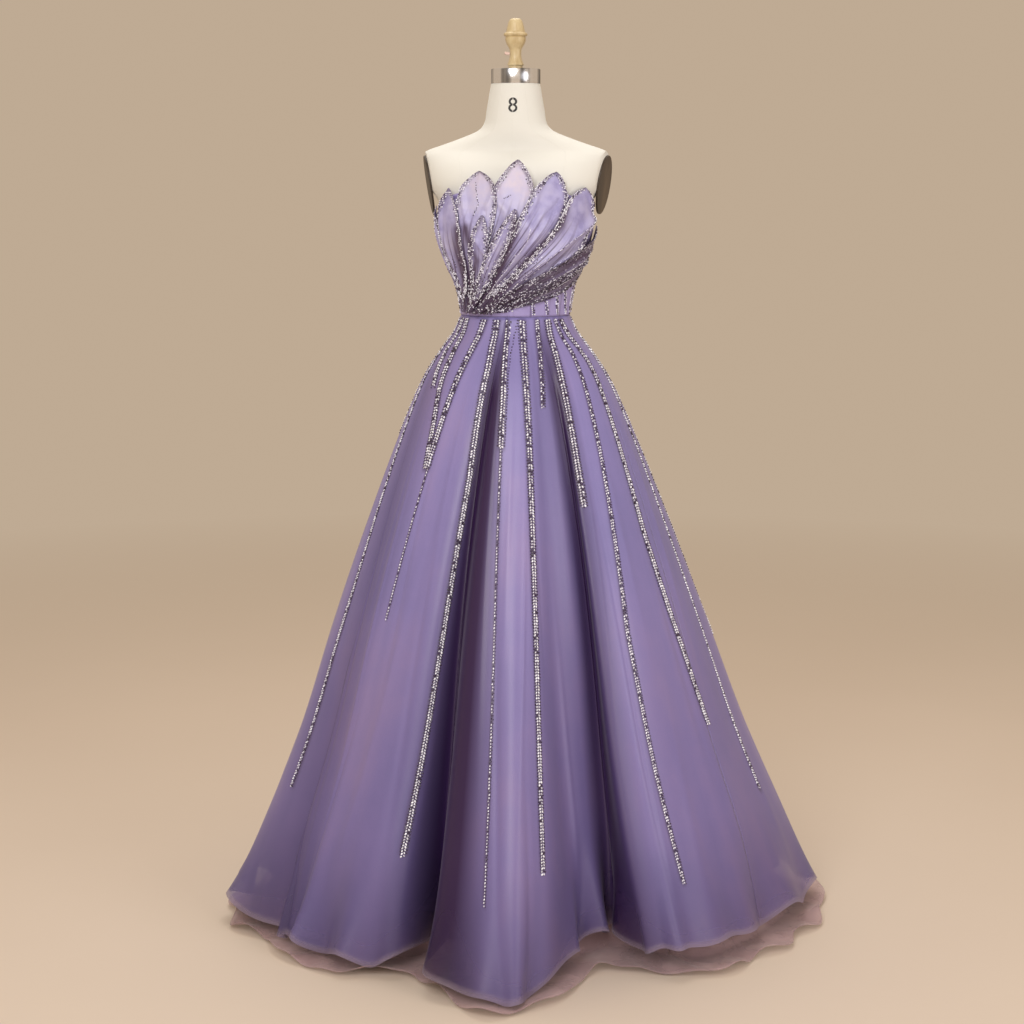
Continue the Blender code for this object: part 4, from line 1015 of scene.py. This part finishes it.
UNDERSKIRT_WALL, UNDERSKIRT_HEM, UNDERSKIRT_CUT = 0.0015, 0.090, (0.87, 1.22, 0.59)
TULLE_WALL, TULLE_CUT = 0.0010, (1.10, 0.40, 0.7)
TULLE_TOP, TULLE_BEND, TULLE_FLOOR, TULLE_HEM = 0.300, 0.086, 0.0125, 0.0045
TULLE_LOWEST, TULLE_SEAM_REACH = 0.0008, 0.45
UNDER_QUARTERS = {"front": -45, "left": 45, "back": 135, "right": 225}
RINGS, RING_STEP, RING_HALF = 12, 3, 7


def organza_reach(t, pick):
    """The organza's least or mean reach near every third degree, a share t of the way down."""
    around_it = np.arange(8 * len(FOLDS)) / 8
    angle, reach = skirt_polar(around_it, np.full(len(around_it), t))[:2]
    rough = []
    for at in range(0, 360, RING_STEP):
        rough.append(pick(reach[np.abs((angle - at + 180) % 360 - 180) <= RING_HALF]))
    weights = ((-2, 1), (-1, 3), (0, 4), (1, 3), (2, 1))
    return sum(np.roll(rough, -shift) * weight for shift, weight in weights) / 12


def ring_value(ring, angle):
    """A ring's reach at an angle."""
    degrees = np.arange(0, 360 + RING_STEP, RING_STEP)
    return np.interp(np.asarray(angle) % 360, degrees, np.append(ring, ring[0]))


inner = [organza_reach(k / RINGS, np.min) for k in range(RINGS + 1)]
hem_ring = organza_reach(1.0, np.mean)


def under_reach(angle, z):
    """The underskirt's reach: inside the deepest organza, with air between."""
    t = np.clip((WAIST_Z - z) / WAIST_Z, 0, 1) * RINGS
    rings = np.array([ring_value(ring, angle) for ring in inner])
    i = np.minimum(t.astype(int), RINGS - 1)
    low, high = (np.take_along_axis(rings, k[None], axis=0)[0] for k in (i, i + 1))
    share = t / RINGS
    air = 0.0008 + 0.0035 * np.minimum(share / 0.02, 1.0) + 0.020 * share
    return np.minimum(low + (high - low) * (t - i), cone_reach(angle, z)) - ORGANZA_WALL - air


lining = patchy(
    "underskirt_taffeta", 6.0, 3.0, EVEN, [(0.3, (0.19, 0.12, 0.31)), (0.75, (0.30, 0.21, 0.44))],
    Roughness=0.45, Sheen_Weight=0.2,
)
lining.bump(lining.noise(lining.place(), 240.0, 3.0, (1, 1, 0.1)), 0.2, 0.0004)
tulle = patchy(
    "tulle_net", 18.0, 4.0, EVEN,
    [(0.3, (0.40, 0.25, 0.29)), (0.6, (0.56, 0.38, 0.41)), (0.85, (0.70, 0.54, 0.55))],
    Roughness=0.7, Sheen_Weight=0.25, Alpha=0.42,
)
tulle.bump(tulle.noise(tulle.place(), 1600.0, 1.0), 0.15, 0.0004)

for side, start in UNDER_QUARTERS.items():
    u = np.linspace(0, 1, 73)[None, :]
    down = (np.linspace(0, 1, 41) ** 1.1)[:, None] + 0 * u
    z = WAIST_Z - SEAM_GAP + down * (UNDERSKIRT_HEM - WAIST_Z + SEAM_GAP)
    inset = np.degrees(SEAM_GAP / 2 / under_reach(start + 0 * z, z))
    angle = start + inset + u * (90 - 2 * inset)
    share = (WAIST_Z - z) / WAIST_Z
    turn = np.radians(angle)
    flutes = 0.006 * share * (1 + np.cos(turn * 36 + 2 * np.sin(turn * 5)))
    cloth(
        f"underskirt_{side}_quarter", polar(angle, under_reach(angle, z) - flutes, z),
        lining, [f"underskirt_{side}"], UNDERSKIRT_WALL,
    )

    # The tulle's reach is read between four levels, at v from 0 at the top to 3 at the hem
    u = np.linspace(0, 1, 121)[None, :]
    v = np.linspace(0, 3, 31)[:, None]
    inset = math.degrees(SEAM_GAP / 2 / TULLE_SEAM_REACH)
    angle = start + inset + u * (90 - 2 * inset) + 0 * v
    spread = 0.012 + 0.014 * np.cos(np.radians(angle - 40))
    hem_here = ring_value(hem_ring, angle)
    reaches = np.array([
        under_reach(angle, TULLE_TOP + 0 * angle) - 0.030,
        under_reach(angle, TULLE_BEND + 0 * angle) - 0.026,
        np.minimum(under_reach(angle, 0.040 + 0 * angle) + 0.010, hem_here),
        hem_here + spread,
    ])
    levels = np.array([TULLE_TOP, TULLE_BEND, TULLE_FLOOR, TULLE_HEM])
    levels = levels[:, None, None] + 0 * reaches
    places = np.clip(v, 0, 2.999999) + 0 * u
    i = places.astype(int)
    share = places - i
    reach, z = (
        np.take_along_axis(table, i[None], axis=0)[0] * (1 - share)
        + np.take_along_axis(table, i[None] + 1, axis=0)[0] * share
        for table in (reaches, levels)
    )
    turn = np.radians(angle)
    outer = np.clip(v - 2.1, 0, 0.9) / 0.9
    wave = np.cos(turn * 24 + 2 * np.sin(turn * 5)) + 0.5 * np.cos(turn * 41 + 1)
    z = z + outer**2 * 0.0065 * (1.5 + wave) + TULLE_LOWEST
    reach = reach + outer**2 * (0.010 + 0.012 * np.cos(turn * 17 + 2 * np.sin(turn * 5)))
    cloth(
        f"tulle_{side}_flounce", polar(angle, reach, z), tulle, [f"tulle_{side}"],
        TULLE_WALL,
    )

# ---------------------------------------------------------------- beading
# Silver-lined and dark violet glass beads, sewn in rows along the petals' edges and the crests
# of the folds, thickly at the gather, down the boning, and in strings down the skirt.

# Tints from 0 to 0.5 are silver-lined glass, and those over 0.54 are dark glass. The silver-lined
# beads glow faintly with painted light, the lightest most.
glass = Finish("glass_beads_painted_glow", Roughness=0.25, Coat_Weight=0.8, Emission_Strength=1.0)
glass.lead(
    Base_Color=glass.worn("tint").ramp([
        (0.0, (0.86, 0.87, 0.92)), (0.50, (0.56, 0.55, 0.65)), (0.54, (0.07, 0.045, 0.10)),
        (1.0, (0.03, 0.02, 0.04)),
    ]),
    # Painted light: a faint glow on the silver-lined beads
    Emission_Color=glass.worn("tint").ramp([
        (0.0, (0.22, 0.22, 0.25)), (0.50, (0.01, 0.01, 0.02)), (0.54, BLACK),
    ]),
)
DARK_FROM, BEAD_SEAT, SATIN_CLEAR = 0.53, 0.45, 0.0008
RAY_OUT, COVERED_BY = 0.05, 0.0016


def strew(name, beads):
    """Sews on beads given as (place, radius, tint, run); a run's length draws its bead out."""
    places, sizes, tints, runs = zip(*beads)
    dots = bpy.data.meshes.new(name)
    dots.from_pydata(places, [], [])
    stretches = [(size, size, size * run.length) for size, run in zip(sizes, runs)]
    turns = [run.to_track_quat("Z", "Y").to_euler() for run in runs]
    for key, kind, field, values in (
        ("tint", "FLOAT", "value", tints), ("stretch", "FLOAT_VECTOR", "vector", stretches),
        ("turn", "FLOAT_VECTOR", "vector", turns),
    ):
        rows = [value if kind == "FLOAT" else tuple(value) for value in values]
        kept = dots.attributes.new(key, kind, "POINT")
        kept.data.foreach_set(field, np.array(rows, np.float32).ravel())
    tree = bpy.data.node_groups.new(name, "GeometryNodeTree")
    for way in ("INPUT", "OUTPUT"):
        tree.interface.new_socket("Geometry", in_out=way, socket_type="NodeSocketGeometry")
    start, result = tree.nodes.new("NodeGroupInput"), tree.nodes.new("NodeGroupOutput")
    bead = tree.nodes.new("GeometryNodeMeshIcoSphere")
    bead.inputs["Radius"].default_value, bead.inputs["Subdivisions"].default_value = 1.0, 1
    copies = tree.nodes.new("GeometryNodeInstanceOnPoints")
    for key, socket in (("stretch", "Scale"), ("turn", "Rotation")):
        read = tree.nodes.new("GeometryNodeInputNamedAttribute")
        read.data_type = "FLOAT_VECTOR"
        read.inputs["Name"].default_value = key
        tree.links.new(read.outputs["Attribute"], copies.inputs[socket])
    real = tree.nodes.new("GeometryNodeRealizeInstances")
    for out, into in (
        (start.outputs["Geometry"], copies.inputs["Points"]),
        (bead.outputs["Mesh"], copies.inputs["Instance"]),
        (copies.outputs["Instances"], real.inputs["Geometry"]),
        (real.outputs["Geometry"], result.inputs["Geometry"]),
    ):
        tree.links.new(out, into)
    strewn = link(name, dots)
    strewn.modifiers.new("beads", "NODES").node_group = tree
    mesh = settled(strewn)
    mesh.materials.clear()
    fit(name, mesh, glass)


chance = np.random.default_rng(17)
petals_all = BVHTree.FromPolygons(petal_corners, petal_faces)
sewn = []
SILVER, PEWTER, DARK = (0.0, 0.5), (0.36, 0.5), (0.56, 1.0)


def either(silver_share, light=SILVER):
    """A tint for a bead: one of the light ones, or else dark."""
    return chance.uniform(*(light if chance.random() < silver_share else DARK))


def sew_row(petal, across, s, sizes, silver_share, keep, long=1.0):
    """Sews a row of beads on a petal, leaving out those that another petal covers."""
    places = on_petal(petal, across, s)[0]
    beyond = on_petal(petal, across, s, RAY_OUT)[0]
    runs = np.gradient(places, axis=0)
    light = PEWTER if petal.name.startswith("drape") else SILVER
    for place, outside, size, run in zip(places, beyond, sizes, runs):
        place, outside, run = Vector(place), Vector(outside), Vector(run).normalized() * long
        outwards = (outside - place).normalized()
        hit = petals_all.ray_cast(outside, -outwards)
        covered = hit[0] is not None and hit[3] < (outside - place).length - COVERED_BY
        if not covered and chance.random() < keep:
            seat = place + outwards * size * BEAD_SEAT
            sewn.append((seat, size, either(silver_share, light), run))


def along(line, pitch):
    """Places (angle, z) at a pitch along a line laid over the bodice."""
    line = np.array(line, float)
    x = np.radians(line[:, 0]) * REACH
    far = np.concatenate([[0], np.cumsum(np.hypot(np.diff(x), np.diff(line[:, 1])))])
    at = np.arange(0, far[-1], pitch)
    return np.interp(at, far, line[:, 0]), np.interp(at, far, line[:, 1])


def sew_on_top(angles, heights, low, high, silver_share, keep=1.0, long=1.0):
    """Sews beads on whatever cloth of the bodice is outermost at each place."""
    places, beyond = on_bodice(angles, heights), on_bodice(angles, heights, RAY_OUT)
    for inside, outside, run in zip(places, beyond, np.gradient(places, axis=0)):
        if chance.random() > keep:
            continue
        inside, outside, size = Vector(inside), Vector(outside), chance.uniform(low, high)
        outwards = (outside - inside).normalized()
        hit = petals_all.ray_cast(outside, -outwards)
        on_petals = hit[0] is not None and hit[3] < (outside - inside).length
        place = hit[0] if on_petals else inside + outwards * SATIN_CLEAR
        run = Vector(run).normalized() * long
        sewn.append((place + outwards * size * BEAD_SEAT, size, either(silver_share), run))


# Rows in from a petal's edge, with the share of their beads that is sewn, and rows up its middle
EDGE_ROWS = ((0.0012, 1.0), (0.0037, 0.9), (0.0063, 0.65), (0.0090, 0.3))
EDGE_PITCH, MIDDLE_PITCH, DULL_SHARE = 0.0037, 0.0055, 0.34
for petal in PETALS:
    is_drape = petal.name.startswith("drape")
    edge_end, middle_end, edge_share = (1.0, 0.97, DULL_SHARE) if is_drape else (0.985, 0.50, 0.72)
    for side in (-1, 1):
        for far_in, keep in EDGE_ROWS:
            s = np.arange(0.14, edge_end, EDGE_PITCH / petal.flat[1])
            s = s[petal_half_width(petal, s) > far_in + 0.0012]
            depth = far_in + chance.normal(0, 0.0004, len(s))
            across = side * (1 - depth / petal_half_width(petal, s))
            sizes = chance.uniform(0.0010, 0.0015, len(s))
            sew_row(petal, across, s, sizes, edge_share, keep, long=1.25)
    for across in np.linspace(-0.7, 0.7, 5) if is_drape else (-0.5, 0.0, 0.5):
        s = np.arange(0.08, middle_end, MIDDLE_PITCH / petal.flat[1])
        across = across + chance.normal(0, 0.04, len(s))
        sizes = chance.uniform(0.0007, 0.0011, len(s))
        sew_row(petal, across, s, sizes, DULL_SHARE, keep=0.6, long=2.4)
strew("petal_beads", sewn)
sewn = []
# Corded rows along the crests, bright on the petals and duller on the drapes
for (_, _, line), silver_share in zip(RIDGES, (1.0, 1.0, 0.7, 0.5, 0.5, 0.4)):
    angles, heights = along(line, 0.0028)
    sew_on_top(angles, heights, 0.0006, 0.0009, silver_share, keep=0.8, long=1.8)
# Five rows across the gather, and nine down the band beside the right side seam
GATHER_PITCH = 0.0034
gather = ((-47, 1.247), (-40, 1.250), (-28, 1.250), (-14, 1.250), (2, 1.254))
angles, heights = along(gather, GATHER_PITCH)
for row in range(-2, 3):
    shaken = angles + chance.normal(0, 0.8, len(angles))
    sew_on_top(shaken, heights + row * GATHER_PITCH, 0.0009, 0.0017, 0.35)
band = (
    (-66, 1.452), (-74, 1.434), (-78, 1.397), (-77, 1.356), (-76, 1.323), (-74, 1.276),
    (-64, 1.243),
)
angles, heights = along(band, 0.0032)
for row in range(-4, 5):
    shaken = angles + row * 1.3 + chance.normal(0, 0.4, len(angles))
    sew_on_top(shaken, heights, 0.0008, 0.0014, 0.6, keep=0.8)
# A short vein of dark beads on the third petal, and a small mark on the centre one
for line in (((-25, 1.498), (-23, 1.477), (-21, 1.456), (-24, 1.433)), ((-3, 1.468), (2, 1.474))):
    angles, heights = along(line, 0.0026)
    sew_on_top(angles + chance.normal(0, 0.25, len(angles)), heights, 0.0009, 0.0013, 0.15)
# Three rows down each bone: angle and height of its top, and the angle of its foot
BONES_FOOT = 1.238
BONES = (
    (23, 1.261, 24), (37, 1.265, 40), (50, 1.272, 54), (62, 1.283, 69), (79, 1.297, 80),
    (97, 1.321, 97), (118, 1.410, 118), (139, 1.408, 139), (159, 1.404, 159),
    (-159, 1.404, -159), (-139, 1.408, -139), (-118, 1.410, -118), (-97, 1.415, -97),
    (-86, 1.42, -84),
)
for top_angle, top_z, foot_angle in BONES:
    angles, heights = along(((top_angle, top_z), (foot_angle, BONES_FOOT)), 0.0042)
    for shift, silver_share in ((-1.3, 0.7), (0, 0.2), (1.3, 0.7)):
        shaken = angles + shift + chance.normal(0, 0.1, len(angles))
        sew_on_top(shaken, heights, 0.0010, 0.0016, silver_share, keep=0.95, long=1.4)
strew("bodice_beads", sewn)

# The rows of each kind of string: metres to the left of its line, lean, pitch, least and
# greatest radius, and share of silver
STRING_ROWS = {
    BROAD: (
        (-0.0029, 0.7, 0.0054, 0.0015, 0.0021, 0.90), (0.0029, -0.7, 0.0054, 0.0015, 0.0021, 0.90),
        (0.0, 0.0, 0.0054, 0.0010, 0.0015, 0.0),
        (-0.0068, 0.0, 0.0058, 0.0012, 0.0017, 0.0), (0.0068, 0.0, 0.0058, 0.0012, 0.0017, 0.0),
    ),
    NARROW: (
        (-0.0019, 0.6, 0.0054, 0.0012, 0.0017, 0.90), (0.0019, -0.6, 0.0054, 0.0012, 0.0017, 0.70),
        (0.0050, 0.0, 0.0054, 0.0010, 0.0014, 0.0),
    ),
    THIN: ((0.0, 0.2, 0.0058, 0.0011, 0.0016, 0.85), (0.0030, 0.0, 0.0070, 0.0008, 0.0012, 0.0)),
}
SKIRT_SLOPE = 1.27          # metres down the cloth from waist to hem
sewn = []
for half_width, line in STRINGS:
    shares, folds = np.array(line).T
    for shift, lean, pitch, low, high, silver_share in STRING_ROWS[half_width]:
        t = np.arange(shares[0], shares[-1], pitch / SKIRT_SLOPE)
        t = np.clip(t + chance.uniform(0, 0.003), 0.002, 1)
        u = np.interp(t, shares, folds)
        aside = (shift + chance.normal(0, 0.0003, len(t))) / skirt_place(u, t)[2]
        places, outwards, _ = skirt_place(u + aside, t)
        for place, out, down in zip(places, outwards, np.gradient(places, axis=0)):
            size, out, down = chance.uniform(low, high), Vector(out), Vector(down).normalized()
            run = (down + down.cross(out) * lean).normalized() * (1.5 if lean else 1.2)
            sewn.append((Vector(place) + out * size * BEAD_SEAT, size, either(silver_share), run))
for name, pick in (("silver", True), ("dark", False)):
    picked = [bead for bead in sewn if (bead[2] < DARK_FROM) == pick]
    strew(f"skirt_{name}_beads", picked)

# ---------------------------------------------------------------- zip
# A closed coil zip up the centre back: two woven tapes with their teeth between, a cast
# slider at the top, and a pull tab that hangs from its bar.

metal = patchy(
    "zip_metal", 200.0, 3.0, EVEN, [(0, (0.62, 0.58, 0.70)), (1, (0.46, 0.43, 0.53))],
    Metallic=1.0, Roughness=0.28,
)
for node in ("zip_slider", "zip_pull_tab"):
    dress(node, metal)
tape = Finish("zip_tape", Roughness=0.75)
ribs = tape.noise(tape.place(), 1200.0, 2.0, (0.3, 1, 1))
tape.lead(Base_Color=ribs.blend((0.25, 0.18, 0.38), (0.38, 0.30, 0.52)))
tape.bump(ribs, 0.4, 0.0003)
ZIP_TOP = float(smooth(BODICE_TOP[0], BODICE_TOP[1], 180.0)) - 0.004
ZIP_FOOT = float(skirt_polar(np.array(0.0), np.array(ZIP_BOTTOM_SHARE))[2]) + 0.003


def zip_line(z):
    """The centre-back line from the top edge down over the waist and onto the skirt."""
    if z >= WAIST_Z:
        return on_bodice(180.0, z)
    t = (WAIST_Z - z) / (WAIST_Z - FOLDS[0][3])
    return polar(*skirt_polar(np.array(0.0), np.array(t)))


TAPE_WALL, TOOTH_PITCH, TOOTH_SIZE = 0.0012, 0.0016, (0.0024, 0.0008, 0.0006)
spine = np.array([zip_line(level) for level in np.linspace(ZIP_TOP, ZIP_FOOT, 81)])
across = (0.5 - np.linspace(0, 1, 13)) * ZIP_WIDTH
ribbed = np.stack([across, 0.0001 - 0.0003 * np.cos(across * 900), 0 * across], axis=-1)
cloth("zip_tapes", spine[:, None, :] + ribbed[None], tape, ["zip_chain"], TAPE_WALL)
bm = bmesh.new()
for k, level in enumerate(np.arange(ZIP_FOOT + 0.002, ZIP_TOP - 0.002, TOOTH_PITCH / 2)):
    side = 1 if k % 2 else -1
    at = Vector(zip_line(level)) + Vector((side * 0.0006, 0.0003, 0))
    made = bmesh.ops.create_cube(bm, size=1.0)["verts"]
    bmesh.ops.scale(bm, vec=TOOTH_SIZE, verts=made)
    bmesh.ops.translate(bm, vec=at, verts=made)
fit("zip_teeth", smooth_mesh(bm, "zip_teeth", 30), metal)
